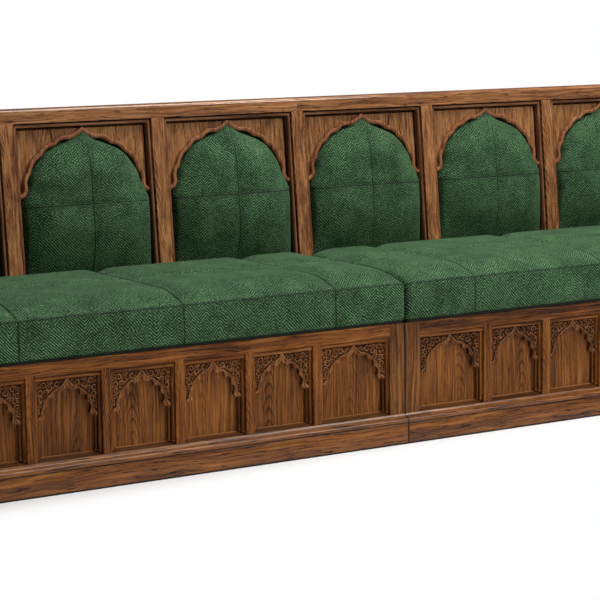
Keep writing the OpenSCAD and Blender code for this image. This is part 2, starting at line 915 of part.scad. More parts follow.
seat_blocks(1);  // seat_blocks_right
seat_foam(-1);  // seat_foam_left
seat_foam(1);  // seat_foam_right
seat_cover(-1);  // seat_cover_left
seat_cover(1);  // seat_cover_right
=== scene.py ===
"""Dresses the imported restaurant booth: stained oak joinery, carved fretwork and green tweed upholstery."""

from __future__ import annotations

import logging
import math
from dataclasses import dataclass
from enum import Enum
from typing import TypeAlias, Union

import bmesh
import bpy
import numpy as np
from mathutils import Matrix, Vector
from mathutils.geometry import tessellate_polygon

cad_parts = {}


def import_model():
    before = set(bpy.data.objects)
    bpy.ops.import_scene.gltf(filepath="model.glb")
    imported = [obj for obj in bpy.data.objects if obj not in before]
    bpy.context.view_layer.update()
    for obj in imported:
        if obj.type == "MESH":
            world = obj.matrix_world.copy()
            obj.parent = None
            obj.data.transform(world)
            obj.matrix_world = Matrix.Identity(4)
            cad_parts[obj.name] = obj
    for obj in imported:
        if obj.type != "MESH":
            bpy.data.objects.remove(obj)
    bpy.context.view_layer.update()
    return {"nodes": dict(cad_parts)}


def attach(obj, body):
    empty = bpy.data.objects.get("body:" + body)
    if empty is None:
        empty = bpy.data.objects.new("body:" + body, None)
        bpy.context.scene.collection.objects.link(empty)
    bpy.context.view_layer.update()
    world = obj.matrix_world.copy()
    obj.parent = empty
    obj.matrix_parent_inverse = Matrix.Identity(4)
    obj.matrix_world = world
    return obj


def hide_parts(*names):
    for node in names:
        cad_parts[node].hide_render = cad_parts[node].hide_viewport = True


LOG = logging.getLogger("booth")
Source: TypeAlias = Union["Signal", bpy.types.NodeSocket, float, tuple]
MM = 0.001
CLOTH = {"quality": 6, "mass": 0.3, "tension_stiffness": 18, "compression_stiffness": 18,
         "shear_stiffness": 6, "bending_stiffness": 0.6, "use_pressure": True, "vertex_group_mass": "held"}
CLOTH_FRAMES = 20
STITCH_GAP = 3.0
NOWHERE = 1e4
# Where the loop round a seat cushion's section turns to its top, its rear and its underside.
TOP_FROM, REAR_FROM, UNDER_FROM = 1.0, 6.0, 7.0


class Grain(Enum):
    """Direction in which a board's grain runs, as the order along, across, through."""

    ALONG_X = "XZY"
    ALONG_Y = "YZX"
    UPRIGHT = "ZXY"


@dataclass(frozen=True)
class Sizes:
    """The booth's driving sizes in millimetres, as in the part's source."""

    bay_pitch: float = 467.0
    box_h: float = 340.0
    box_depth: float = 628.0
    top_z: float = 942.0
    back_depth: float = 122.0
    rake: float = math.radians(5.64)
    places: int = 3
    end_t: float = 20.0
    frame_t: float = 24.0
    end_stile_w: float = 50.0
    top_rail_h: float = 31.0
    low_rail_h: float = 84.0
    muntin_w: float = 26.0
    end_opening_w: float = 224.0
    panels: int = 6
    bead_w: float = 8.0
    sill_h: float = 10.0
    fret_set: float = 11.0
    fret_h: float = 112.0
    fret_tip: float = 27.0
    colonette_w: float = 10.0
    plinth_h: float = 84.0
    plinth_t: float = 19.5
    plinth_flat: float = 59.0
    plinth_nose: float = 15.0
    stile_w: float = 40.6
    stile_t: float = 32.0
    cap_h: float = 39.0
    cap_round: float = 9.0
    bay_bead_w: float = 9.5
    bay_bead_gap: float = 4.5
    spandrel_set: float = 22.0
    arch_rise: float = 178.0
    arch_drop: float = 20.0
    pad_gap: float = 4.5
    pad_edge_set: float = 24.0
    pad_crown_out: float = 36.0
    pad_seam_z: float = 243.0
    pad_lift: float = 190.0
    pad_fall: float = 120.0
    cushion_over: float = 12.0
    cushion_lift: float = 3.0
    cushion_edge: float = 112.0
    cushion_crown: float = 42.0
    cushion_split: float = 5.0
    cushion_back_gap: float = 5.0
    cushion_seam_y: float = 297.0
    cushion_round: float = 16.0
    crown_w: float = 140.0
    end_w: float = 90.0
    seam_spread: float = 26.0
    bay_foot: float = 88.0

    @property
    def box_len(self) -> float:
        """Length of one seat box."""
        return self.places * self.bay_pitch + self.end_t

    @property
    def face_y(self) -> float:
        """Place of the face frame's front along the row frame's Y."""
        return (max(self.cushion_over, self.plinth_t) - self.box_depth) / 2

    @property
    def screen_set(self) -> float:
        """Distance from the face frame to the back screen at the seat box's top."""
        return self.box_depth - self.back_depth

    @property
    def rail_z(self) -> float:
        """Lower edge of the face frame's top rail."""
        return self.box_h - self.top_rail_h

    @property
    def bay_top(self) -> float:
        """Height of a bay, up the slope of the screen."""
        return (self.top_z - self.cap_h - self.box_h) / math.cos(self.rake)

    @property
    def bead_in(self) -> float:
        """Half width of a bay inside its bead."""
        return (self.bay_pitch - self.stile_w) / 2 - self.bay_bead_gap - self.bay_bead_w

    @property
    def bay_centres(self) -> list[float]:
        """Middles of the six bays along X."""
        return [(number - self.places + 0.5) * self.bay_pitch for number in range(2 * self.places)]

    @property
    def arch_foot(self) -> float:
        """Height of the back arch's feet, up the slope of the screen."""
        return self.bay_top - self.arch_drop - self.arch_rise

    @property
    def pad_foot(self) -> float:
        """Height of a back pad's foot, up the slope of the screen."""
        return self.bay_foot + 2

    @property
    def pad_seam(self) -> float:
        """Height of a back pad's level seam, up the slope of the screen."""
        return self.pad_foot + self.pad_seam_z

    @property
    def pad_half(self) -> float:
        """Half width of a back pad at its foot."""
        return self.bead_in - self.pad_gap

    @property
    def fret_foot(self) -> float:
        """Height of the carved arches' feet above the floor."""
        return self.rail_z - self.bead_w - self.fret_h

    @property
    def fret_rise(self) -> float:
        """Height of a carved arch from its feet to its tip."""
        return self.fret_h - self.fret_tip

    def screen_y(self, z: float) -> float:
        """Depth of the back screen's face at a height, from the face frame."""
        return self.screen_set + (z - self.box_h) * math.tan(self.rake)

    def opening(self, index: int) -> tuple[float, float]:
        """Finds one of the six openings of the right-hand seat box.

        Args:
            index: Number of the opening from the joint between the boxes.

        Returns:
            Start of the opening along X, and its width.
        """
        inner = (self.box_len - 2 * self.end_stile_w - (self.panels - 1) * self.muntin_w
                 - 2 * self.end_opening_w) / (self.panels - 2)
        start = self.end_stile_w
        width = self.end_opening_w
        for number in range(1, index + 1):
            start += width + self.muntin_w
            width = inner if number < self.panels - 1 else self.end_opening_w
        return start, width

    def on_screen(self, points: np.ndarray) -> np.ndarray:
        """Places points of the raked screen's own frame in the row frame.

        Args:
            points: Rows of x, depth behind the stiles' face and height up the slope.

        Returns:
            The same points in the row frame, in millimetres.
        """
        cos, sin = math.cos(self.rake), math.sin(self.rake)
        x, y, z = np.asarray(points, float).T
        return np.column_stack([x, self.face_y + self.screen_set + y * cos + z * sin,
                                self.box_h - y * sin + z * cos])


SIZES = Sizes()


def linear(hex_colour: str) -> tuple[float, float, float, float]:
    """Turns an sRGB hex colour into linear red, green, blue and alpha."""
    parts = [int(hex_colour[i:i + 2], 16) / 255 for i in (1, 3, 5)]
    levels = [c / 12.92 if c <= 0.04045 else ((c + 0.055) / 1.055) ** 2.4 for c in parts]
    return levels[0], levels[1], levels[2], 1.0


def connect(tree: bpy.types.NodeTree, socket: bpy.types.NodeSocket, value: Source) -> None:
    """Links a node's input to the signal or the socket that feeds it, or sets its value."""
    source = getattr(value, "socket", value)
    if isinstance(source, bpy.types.NodeSocket):
        tree.links.new(source, socket)
    else:
        socket.default_value = source


def add_node(tree: bpy.types.NodeTree, kind: str, inputs: dict[str | int, Source] | None = None,
             **settings: str) -> bpy.types.Node:
    """Adds a node to a tree, sets it and links it.

    Args:
        tree: Node tree that gets the node.
        kind: Blender's name of the node type.
        inputs: Socket name or number, with a value, or the signal or socket that feeds it.
        **settings: The node's own settings.

    Returns:
        The new node.
    """
    node = tree.nodes.new(kind)
    for key, value in settings.items():
        setattr(node, key, value)
    for key, value in (inputs or {}).items():
        connect(tree, node.inputs[key], value)
    return node


def reckon(operation: str, *values: Signal | float) -> Signal:
    """Adds a Math node to the signals' tree and returns its result."""
    tree = next(value.tree for value in values if isinstance(value, Signal))
    node = add_node(tree, "ShaderNodeMath", dict(enumerate(values)), operation=operation)
    return Signal(tree, node.outputs[0])


class Signal:
    """A socket of a material's tree. Its sums with other signals and numbers add Math nodes."""

    def __init__(self, tree: bpy.types.NodeTree, socket: bpy.types.NodeSocket) -> None:
        """Keeps the socket and its tree."""
        self.tree = tree
        self.socket = socket

    def __add__(self, other: Signal | float) -> Signal:
        """Returns this plus the other."""
        return reckon("ADD", self, other)

    def __radd__(self, other: float) -> Signal:
        """Returns the other plus this."""
        return reckon("ADD", other, self)

    def __sub__(self, other: Signal | float) -> Signal:
        """Returns this less the other."""
        return reckon("SUBTRACT", self, other)

    def __rsub__(self, other: float) -> Signal:
        """Returns the other less this."""
        return reckon("SUBTRACT", other, self)

    def __mul__(self, other: Signal | float) -> Signal:
        """Returns this times the other."""
        return reckon("MULTIPLY", self, other)

    def __truediv__(self, other: Signal | float) -> Signal:
        """Returns this divided by the other."""
        return reckon("DIVIDE", self, other)

    def __abs__(self) -> Signal:
        """Returns this without its sign."""
        return reckon("ABSOLUTE", self)


class Graph:
    """A material's node tree, with the steps that its patterns need."""

    def __init__(self, name: str) -> None:
        """Starts a material with only its shader and output."""
        self.material = bpy.data.materials.new(name)
        self.material.use_nodes = True
        self.tree = self.material.node_tree
        self.tree.nodes.clear()
        self.shader = add_node(self.tree, "ShaderNodeBsdfPrincipled")
        self.output = add_node(self.tree, "ShaderNodeOutputMaterial", {"Surface": self.shader.outputs[0]})

    def out(self, kind: str, which: int | str, inputs: dict[str | int, Source] | None = None,
            **settings: str) -> Signal:
        """Adds a node and returns one of its outputs, by number or name."""
        return Signal(self.tree, add_node(self.tree, kind, inputs, **settings).outputs[which])

    def parts(self, kind: str, source: Signal) -> list[Signal]:
        """Splits a vector or a colour with a node of the given kind and returns its parts."""
        return [Signal(self.tree, part) for part in add_node(self.tree, kind, {0: source}).outputs]

    def blend(self, share: Signal, low: Signal | tuple, high: Signal | tuple) -> Signal:
        """Mixes two colours, low where the share is 0 and high where it is 1."""
        return self.out("ShaderNodeMix", 2, {0: share, 6: low, 7: high}, data_type="RGBA")

    def span(self, value: Signal, low: float, high: float, start: float = 0.0, stop: float = 1.0) -> Signal:
        """Carries a value from low..high to start..stop, eased at both ends and held beyond them."""
        limits = {"Value": value, "From Min": low, "From Max": high, "To Min": start, "To Max": stop}
        return self.out("ShaderNodeMapRange", 0, limits, interpolation_type="SMOOTHSTEP")

    def noise(self, x: Signal, y: Signal, z: Signal | float, detail: float = 2.0,
              roughness: float = 0.5) -> Signal:
        """Draws noise with spots about one unit wide at a place."""
        place = self.out("ShaderNodeCombineXYZ", 0, {"X": x, "Y": y, "Z": z})
        return self.out("ShaderNodeTexNoise", 0,
                        {"Vector": place, "Scale": 1.0, "Detail": detail, "Roughness": roughness})

    def ramp(self, factor: Signal, stops: list[tuple[float, str]]) -> Signal:
        """Colours a value through sRGB hex colours at their places."""
        node = add_node(self.tree, "ShaderNodeValToRGB", {0: factor})
        elements = node.color_ramp.elements
        while len(elements) > 1:
            elements.remove(elements[-1])
        elements[0].position, elements[0].color = stops[0][0], linear(stops[0][1])
        for place, colour in stops[1:]:
            elements.new(place).color = linear(colour)
        return Signal(self.tree, node.outputs[0])

    def millimetres(self) -> list[Signal]:
        """Returns the Object coordinates x, y and z in millimetres."""
        place = self.out("ShaderNodeTexCoord", "Object")
        scaled = self.out("ShaderNodeVectorMath", 0, {0: place, "Scale": 1 / MM}, operation="SCALE")
        return self.parts("ShaderNodeSeparateXYZ", scaled)

    def bump(self, height: Signal, strength: float, distance: float) -> None:
        """Feeds a height to the shader's normal, with its depth in millimetres."""
        inputs = {"Strength": strength, "Distance": distance * MM, "Height": height}
        self.feed(Normal=self.out("ShaderNodeBump", 0, inputs))

    def feed(self, **sockets: Source) -> None:
        """Sets or links the shader's sockets by name, with spaces written as underscores."""
        for key, value in sockets.items():
            connect(self.tree, self.shader.inputs[key.replace("_", " ")], value)


@dataclass(frozen=True)
class Oak:
    """Stained, satin-varnished oak. Open pores show as dark dashes along the grain.

    Boards change along X at first, and then every pitch, up to number last. From high_y to low_y behind the
    face frame the colour grows darker, a painted shade in a carving's ground and other recesses, and a
    painted highlight lightens the crests that stand before that.
    """

    name: str
    grain: Grain
    tones: tuple[str, str, str, str]
    first: float
    pitch: float
    last: float
    figure: float
    figure_span: float = 90.0
    drift: float = 28.0
    roughness: float = 0.45
    coat: float = 0.0
    coat_roughness: float = 0.25
    # Depths of the painted shade in recesses behind the face frame, and strength of the painted highlight on
    # crests.
    low_y: float | None = None
    high_y: float = 0.0
    painted_highlight: float = 0.0
    joint: bool = False
    foot: bool = False
    pore: float = 2.2
    pore_depth: float = 0.34
    sill: bool = False
    lies_above: float = NOWHERE
    right_shade: float = 0.0

    def build(self) -> bpy.types.Material:
        """Builds the oak's material.

        Returns:
            The finished material, with patterns in real millimetres.
        """
        g = Graph(self.name)
        x, y, z = g.millimetres()
        along, across, through = (dict(X=x, Y=y, Z=z)[letter] for letter in self.grain.value)
        # Sills and heads are part of pieces whose other boards stand, and lie with their grain along X.
        if self.sill or self.lies_above < NOWHERE:
            sill_top = SIZES.low_rail_h + SIZES.sill_h + 0.4
            lies = (reckon("LESS_THAN", z, sill_top) if self.sill
                    else reckon("GREATER_THAN", z, self.lies_above))
            along, across = (a + lies * (b - a) for a, b in ((along, x), (across, z + y)))
        # Each board is cut from its own place of the log.
        step = reckon("FLOOR", (abs(x) - self.first) / self.pitch)
        board = reckon("MINIMUM", step, self.last)
        middle = (board + 0.5) * self.pitch + self.first
        side = reckon("SIGN", x)
        seed = side * 31.7 + board * 1.37
        picks = g.out("ShaderNodeTexWhiteNoise", "Color", {"W": seed}, noise_dimensions="1D")
        pick = g.parts("ShaderNodeSeparateColor", picks)
        run = along + pick[0] * 4000.0
        # The rings' arches grow with the distance from the heart, and the grain wanders over 260 by 70 mm.
        warp = g.noise(run / 260.0, across / 70.0, through / 70.0)
        bent = across + (warp - 0.5) * 34.0
        if self.grain is Grain.UPRIGHT:
            local = bent - middle * side
        else:
            local = bent + self.figure_span
        heart = local - (pick[1] - 0.5) * self.figure_span
        arch = heart * heart / 320.0
        rings = reckon("FRACT", run / self.drift + arch)
        late = g.span(rings, 0.5, 0.86) * g.span(rings, 1.0, 0.9)
        show = g.span(g.noise(run / 330.0, bent / 55.0, 3.1), 0.3, 0.65)
        figure = late * (show * self.figure)
        # Streaks are 6.5 mm wide, fine grain 0.7 mm, and pores wider than real ones, so that they show.
        streak = g.noise(run / 240.0, bent / 6.5, through / 6.5, 3.0, 0.62)
        dash = g.noise(run / (14.0 * self.pore), bent / self.pore, through / self.pore, 2.0, 0.6)
        pores = g.span(dash, 0.56, 0.7)
        fine = g.noise(run / 9.0, bent / 0.7, through / 0.7, 1.0)
        stain = g.noise(run / 190.0, across / 120.0, 7.7, 2.0)
        tone = (0.62 + (streak - 0.5) * 1.5 - figure * 0.5 - pores * self.pore_depth + (fine - 0.5) * 0.2
                + (stain - 0.5) * 0.5 + (pick[2] - 0.5) * 0.12
                - reckon("GREATER_THAN", x, 0.0) * self.right_shade)
        colour = g.ramp(tone, list(zip((0.0, 0.34, 0.62, 1.0), self.tones)))
        # Painted shade darkens what lies deep behind the face frame, and a painted highlight lightens the
        # crests in front of it.
        if self.low_y is not None:
            ground = g.span(y, SIZES.face_y + self.high_y, SIZES.face_y + self.low_y)
            if self.sill:
                ground = ground * (1.0 - lies)
            painted_highlight = g.span(y, SIZES.face_y + 11.4, SIZES.face_y + 10.4, 0.0, self.painted_highlight)
            colour = g.blend(ground * 0.74, colour, linear("#1c0e06"))
            colour = g.blend(painted_highlight, colour, linear("#b9875a"))
        rail, flat = SIZES.low_rail_h, SIZES.plinth_flat
        marks = []
        # The sill gets a painted shadow on its lower part and a painted highlight on a line above it.
        if self.sill:
            marks.append((lies * g.span(z, rail + 7.6, rail + 6.4) * 0.62, "#170b04"))
            marks.append((lies * g.span(z, rail + 7.8, rail + 8.6) * 0.5, "#a87448"))
        # Painted shade of the narrow gap where the two seat boxes meet: a dark line at x = 0.
        if self.joint:
            marks.append((g.span(abs(x), 3.4, 2.0) * 0.92, "#0a0502"))
        # Painted shadow where the plinth meets the floor, and painted shade under the plinth's nose.
        if self.foot:
            under = g.span(z, flat - 5.0, flat - 1.5) * g.span(z, flat + 5.0, flat + 1.5)
            marks += [(g.span(z, 6.5, 4.0) * 0.93, "#080402"), (under * 0.4, "#0d0603")]
        for share, stain_colour in marks:
            colour = g.blend(share, colour, linear(stain_colour))
        g.feed(Base_Color=colour, Roughness=g.span(tone, 0.0, 1.0, self.roughness + 0.16, self.roughness),
               Specular_IOR_Level=0.14, Coat_Weight=self.coat, Coat_Roughness=self.coat_roughness)
        g.bump(streak * 0.4 - (pores + late * 0.3), 0.35, 0.5)
        return g.material


@dataclass(frozen=True)
class Mottled:
    """A plain surface with soft spots or faint grain, as wide along x, y and z as given in millimetres."""

    name: str
    spot: tuple[float, float, float]
    stops: list[tuple[float, str]]
    roughness: float
    rougher: float = 0.0
    metallic: float = 0.0
    detail: tuple[float, float] = (2.0, 0.5)
    relief: tuple[float, float] | None = None

    def build(self) -> bpy.types.Material:
        """Builds the material."""
        g = Graph(self.name)
        spots = g.noise(*(axis / width for axis, width in zip(g.millimetres(), self.spot)), *self.detail)
        roughness = self.roughness
        if self.rougher:
            low, high = self.stops[0][0], self.stops[-1][0]
            roughness = g.span(spots, low, high, roughness, roughness + self.rougher)
        g.feed(Base_Color=g.ramp(spots, self.stops), Metallic=self.metallic, Roughness=roughness)
        if self.relief:
            g.bump(spots, *self.relief)
        return g.material


@dataclass(frozen=True)
class Tweed:
    """Herringbone wool tweed with a soft nap. Zigzags of light and dark green thread."""

    name: str
    period: float
    thread: float
    depth: float
    shade: str = "#08120b"
    body: str = "#284529"
    light: str = "#769e70"

    def build(self) -> bpy.types.Material:
        """Builds the tweed's material.

        Returns:
            The finished material. Its threads are drawn as coarse as they show in the photograph, along the
            piece's own attribute of millimetres on the cloth.
        """
        g = Graph(self.name)
        lay = g.out("ShaderNodeAttribute", "Vector", attribute_name="lay")
        x, rise, _ = g.parts("ShaderNodeSeparateXYZ", lay)
        drift = g.noise(x / 110.0, rise / 110.0, 1.3, 2.0)
        ragged = g.noise(x / 9.0, rise / 9.0, 5.3, 2.0)
        u = x + (drift - 0.5) * 18.0 + (ragged - 0.5) * 4.6
        v = rise + (drift - 0.5) * 9.0
        column = reckon("FRACT", u / self.period)
        zigzag = abs(column - 0.5) * self.period
        patch = g.noise(x / 120.0, rise / 90.0, 9.1, 1.0)
        slant = zigzag + g.span(patch, 0.54, 0.545) * (u - zigzag)
        waves = reckon("SINE", (v + slant) * (2 * math.pi / self.thread))
        break_up = g.noise(u / 3.2, v / 3.2, 2.2, 2.0)
        thread = g.span(waves, -0.55, 0.7) * g.span(break_up, 0.3, 0.62, 0.42, 1.0)
        cloud = g.noise(x / 60.0, rise / 60.0, 4.4, 3.0)
        thread = thread * self.depth + 0.42 * (1 - self.depth)
        tone = thread + (cloud - 0.5) * 0.4 + (break_up - 0.5) * 0.25
        colour = g.ramp(tone, [(0.0, self.shade), (0.5, self.body), (1.0, self.light)])
        # The seam attribute holds painted shade in the seams' creases and a painted shadow along the seat
        # cushions' foot.
        seam = g.out("ShaderNodeAttribute", "Fac", attribute_name="seam")
        colour = g.blend(seam * 0.84, colour, linear("#060d07"))
        g.feed(Base_Color=colour, Roughness=0.92, Specular_IOR_Level=0.2, Sheen_Weight=0.2,
               Sheen_Roughness=0.32, Sheen_Tint=linear("#9fc49c"))
        g.bump(thread + break_up * 0.6, 0.5, 0.9)
        return g.material


@dataclass(frozen=True)
class SewingThread:
    """Twisted polyester sewing thread, a shade darker than the cloth and slightly glossy."""

    name: str = "polyester_sewing_thread"

    def build(self) -> bpy.types.Material:
        """Builds the thread's material."""
        g = Graph(self.name)
        x, y, z = g.millimetres()
        twist = g.span(reckon("SINE", (x + y + z) * 5.0), -1.0, 1.0)
        g.feed(Base_Color=g.ramp(twist, [(0.0, "#122417"), (1.0, "#27442b")]), Roughness=0.6)
        return g.material


@dataclass(frozen=True)
class Arch:
    """A lobed arch, with the cusps between its lobes as shares of its half span and rise."""

    cusps: tuple[tuple[float, float], ...]
    sags: tuple[float, ...]
    half: float
    rise: float

    def side(self, steps: int, swell: float = 1.0) -> tuple[np.ndarray, list[int]]:
        """Follows half of the arch from its tip to its foot.

        Args:
            steps: Number of points to each lobe.
            swell: Share of the lobes' bulge that is kept.

        Returns:
            Rows of x and z, and the numbers of the rows that are cusps.
        """
        corners = [np.array([x * self.half, z * self.rise]) for x, z in self.cusps]
        rows = []
        for start, stop, sag in zip(corners, corners[1:], self.sags):
            chord = stop - start
            normal = np.array([-chord[1], chord[0]]) / np.linalg.norm(chord)
            for step in range(steps):
                t = step / steps
                rows.append(start + chord * t + normal * swell * sag * self.rise * 4 * t * (1 - t))
        rows.append(corners[-1])
        return np.array(rows), [i * steps for i in range(len(corners))]

    def whole(self, steps: int, swell: float = 1.0) -> tuple[np.ndarray, list[int]]:
        """Follows the whole arch from its left foot to its right foot, as rows of x and z, with its cusps."""
        half, cusps = self.side(steps, swell)
        last = len(half) - 1
        line = np.vstack([(half * [-1, 1])[::-1][:-1], half])
        return line, [last - c for c in cusps[::-1]] + [last + c for c in cusps[1:]]


def beside(path: np.ndarray, cusps: list[int], offset: float) -> np.ndarray:
    """Draws a line beside a path, with clean mitres at its cusps.

    Args:
        path: Rows of x and z.
        cusps: Numbers of the rows where the path turns sharply.
        offset: Distance to the left of the path.

    Returns:
        As many rows of x and z as the path has.
    """
    ahead = np.diff(path, axis=0)
    ahead /= np.linalg.norm(ahead, axis=1)[:, None]
    before = np.vstack([ahead[:1], ahead])
    after = np.vstack([ahead, ahead[-1:]])
    tangent = before + after
    tangent /= np.linalg.norm(tangent, axis=1)[:, None]
    normal = np.column_stack([-tangent[:, 1], tangent[:, 0]])
    turn = np.maximum((tangent * before).sum(1), 0.6)
    line = path + normal * (offset / turn)[:, None]
    for cusp in cusps[1:-1]:
        reach = range(max(cusp - 6, 0), min(cusp + 7, len(path)))
        for i in reach:
            past = (line[i] - line[cusp]) @ tangent[cusp]
            if (i < cusp and past > 0) or (i > cusp and past < 0):
                line[i] = line[cusp]
    return line


def bell(distance: np.ndarray, width: float) -> np.ndarray:
    """Returns 1 at no distance, which falls as a bell curve to 0.37 at the width."""
    return np.exp(-(distance / width) ** 2)


def new_object(name: str, points: np.ndarray, edges: list, faces: list) -> bpy.types.Object:
    """Makes an object from points in millimetres and puts it in the scene."""
    mesh = bpy.data.meshes.new(name)
    mesh.from_pydata((np.asarray(points, float) * MM).tolist(), edges, faces)
    made = bpy.data.objects.new(name, mesh)
    bpy.context.scene.collection.objects.link(made)
    return made


def mark(mesh: bpy.types.Mesh, key: str, values: np.ndarray) -> None:
    """Stores a number or a vector at each point of a mesh, by name."""
    flat = values.ndim == 1
    layer = mesh.attributes.new(key, "FLOAT" if flat else "FLOAT_VECTOR", "POINT")
    layer.data.foreach_set("value" if flat else "vector", values.astype(np.float32).ravel())


class Shape:
    """A mesh that grows by parts, in millimetres, and becomes one piece of the booth."""

    def __init__(self) -> None:
        """Starts empty."""
        self.points: list[np.ndarray] = []
        self.faces: list[list[int]] = []
        self.count = 0

    def add(self, points: np.ndarray, faces: list) -> None:
        """Adds points and the faces between them."""
        self.points.append(np.asarray(points, float))
        self.faces.extend([[self.count + i for i in face] for face in faces])
        self.count += len(points)

    def grid(self, rows: np.ndarray, closed: bool = False, caps: bool = False) -> None:
        """Adds the skin over rings of points.

        Args:
            rows: Array of rings, points and coordinates.
            closed: Whether each ring closes on itself.
            caps: Whether the first and last ring are filled.
        """
        count, ring = rows.shape[:2]
        faces = []
        for i in range(count - 1):
            for j in range(ring if closed else ring - 1):
                k = (j + 1) % ring
                faces.append([i * ring + j, i * ring + k, (i + 1) * ring + k, (i + 1) * ring + j])
        if caps:
            faces.append(list(range(ring)))
            faces.append([(count - 1) * ring + j for j in range(ring)][::-1])
        self.add(rows.reshape(-1, 3), faces)

    def sweep(self, lines: list[np.ndarray], depths: list[float]) -> None:
        """Joins lines in x and z, each at its depth, to a closed moulding.

        Args:
            lines: Rows of x and z, one line for each point of the moulding's profile.
            depths: The lines' places along y.
        """
        rings = np.stack([np.insert(line, 1, depth, axis=1) for line, depth in zip(lines, depths)], axis=1)
        self.grid(rings, closed=True, caps=True)

    def plate(self, outline: np.ndarray, front: float, back: float) -> None:
        """Adds an upright board with an outline in x and z, between two depths."""
        flat = [Vector((x, z, 0)) for x, z in outline]
        triangles = [list(t) for t in tessellate_polygon([flat])]
        n = len(flat)
        points = [(x, front, z) for x, z in outline] + [(x, back, z) for x, z in outline]
        walls = [[i, (i + 1) % n, (i + 1) % n + n, i + n] for i in range(n)]
        self.add(np.array(points), triangles + [[i + n for i in t[::-1]] for t in triangles] + walls)

    def tube(self, line: np.ndarray, radii: np.ndarray, sides: int = 6, flat: float = 1.0) -> None:
        """Adds a tube along a line in x and z at a depth.

        Args:
            line: Rows of x, y and z.
            radii: The tube's radius at each row.
            sides: Number of the tube's sides.
            flat: Its thickness along y, as a share of its width.
        """
        ahead = np.gradient(line, axis=0)
        ahead /= np.maximum(np.linalg.norm(ahead, axis=1), 1e-9)[:, None]
        across = np.cross(ahead, [0, 1, 0])
        across /= np.maximum(np.linalg.norm(across, axis=1), 1e-9)[:, None]
        angles = np.arange(sides) * 2 * math.pi / sides
        wide, deep = (turn(angles)[None, :, None] * radii[:, None, None] for turn in (np.cos, np.sin))
        rings = line[:, None] + across[:, None] * wide + np.array([0, 1, 0]) * (deep * flat)
        self.grid(rings, closed=True, caps=True)

    def on_screen(self, centre: float = 0.0) -> Shape:
        """Returns the same shape, moved along X and from the raked screen's frame to the row's."""
        other = Shape()
        other.add(SIZES.on_screen(np.vstack(self.points) + [centre, 0, 0]), self.faces)
        return other

    def build(self, name: str, material: bpy.types.Material | None, smooth: float = 40.0,
              merge: float = 0.002, marks: dict[str, np.ndarray] | None = None) -> bpy.types.Object:
        """Makes the piece, with closed and outward skin.

        Args:
            name: The piece's name.
            material: Its finish, or None for a helper.
            smooth: Largest angle between faces that still looks smooth, in degrees.
            merge: Distance within which points are one, in millimetres.
            marks: Values at the points that the material reads, by name.

        Returns:
            The new object, at the origin.
        """
        piece = new_object(name, np.vstack(self.points), [], self.faces)
        mesh = piece.data
        for key, values in (marks or {}).items():
            mark(mesh, key, values)
        form = bmesh.new()
        form.from_mesh(mesh)
        bmesh.ops.remove_doubles(form, verts=form.verts, dist=merge * MM)
        bmesh.ops.dissolve_degenerate(form, edges=form.edges, dist=merge * MM)
        bmesh.ops.recalc_face_normals(form, faces=form.faces)
        form.to_mesh(mesh)
        form.free()
        mesh.shade_smooth()
        mesh.set_sharp_from_angle(angle=math.radians(smooth))
        if material is not None:
            mesh.materials.append(material)
        return piece


def settle(piece: bpy.types.Object, body: str, slot: str, *nodes: str) -> None:
    """Puts a finished piece on its body.

    Args:
        piece: The finished piece.
        body: CAD body that carries it.
        slot: Material slot of the record; not used.
        *nodes: CAD nodes that it stands for.
    """
    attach(piece, body)
    if nodes:
        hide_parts(*nodes)
    LOG.info("%s: %d faces on %s", piece.name, len(piece.data.polygons), body)


class Rule:
    """A Geometry Nodes group that repeats one small form, with named inputs."""

    def __init__(self, name: str, inputs: dict[str, str]) -> None:
        """Starts a group with a geometry input, the named inputs and a geometry output."""
        self.tree = bpy.data.node_groups.new(name, "GeometryNodeTree")
        face = self.tree.interface
        face.new_socket("Geometry", in_out="INPUT", socket_type="NodeSocketGeometry")
        for key, kind in inputs.items():
            face.new_socket(key, in_out="INPUT", socket_type=kind)
        face.new_socket("Geometry", in_out="OUTPUT", socket_type="NodeSocketGeometry")
        self.given = add_node(self.tree, "NodeGroupInput").outputs

    def finish(self, instances: bpy.types.NodeSocket) -> None:
        """Ends the group in Realize Instances and Set Material."""
        real = add_node(self.tree, "GeometryNodeRealizeInstances", {0: instances})
        dressed = add_node(self.tree, "GeometryNodeSetMaterial",
                           {"Geometry": real.outputs[0], "Material": self.given["Material"]})
        add_node(self.tree, "NodeGroupOutput", {0: dressed.outputs[0]})

    def apply(self, source: bpy.types.Object, values: dict[str, bpy.types.ID | float]) -> bpy.types.Object:
        """Runs the group on an object and keeps the result as its plain mesh.

        Args:
            source: Object that holds the path or the points.
            values: The named inputs.

        Returns:
            The same object, with the made mesh and no modifier.
        """
        modifier = source.modifiers.new(self.tree.name, "NODES")
        modifier.node_group = self.tree
        for item in self.tree.interface.items_tree:
            if item.in_out == "INPUT" and item.name in values:
                modifier[item.identifier] = values[item.name]
        source.update_tag()
        graph = bpy.context.evaluated_depsgraph_get()
        made = bpy.data.meshes.new_from_object(source.evaluated_get(graph))
        source.modifiers.clear()
        source.data = made
        return source


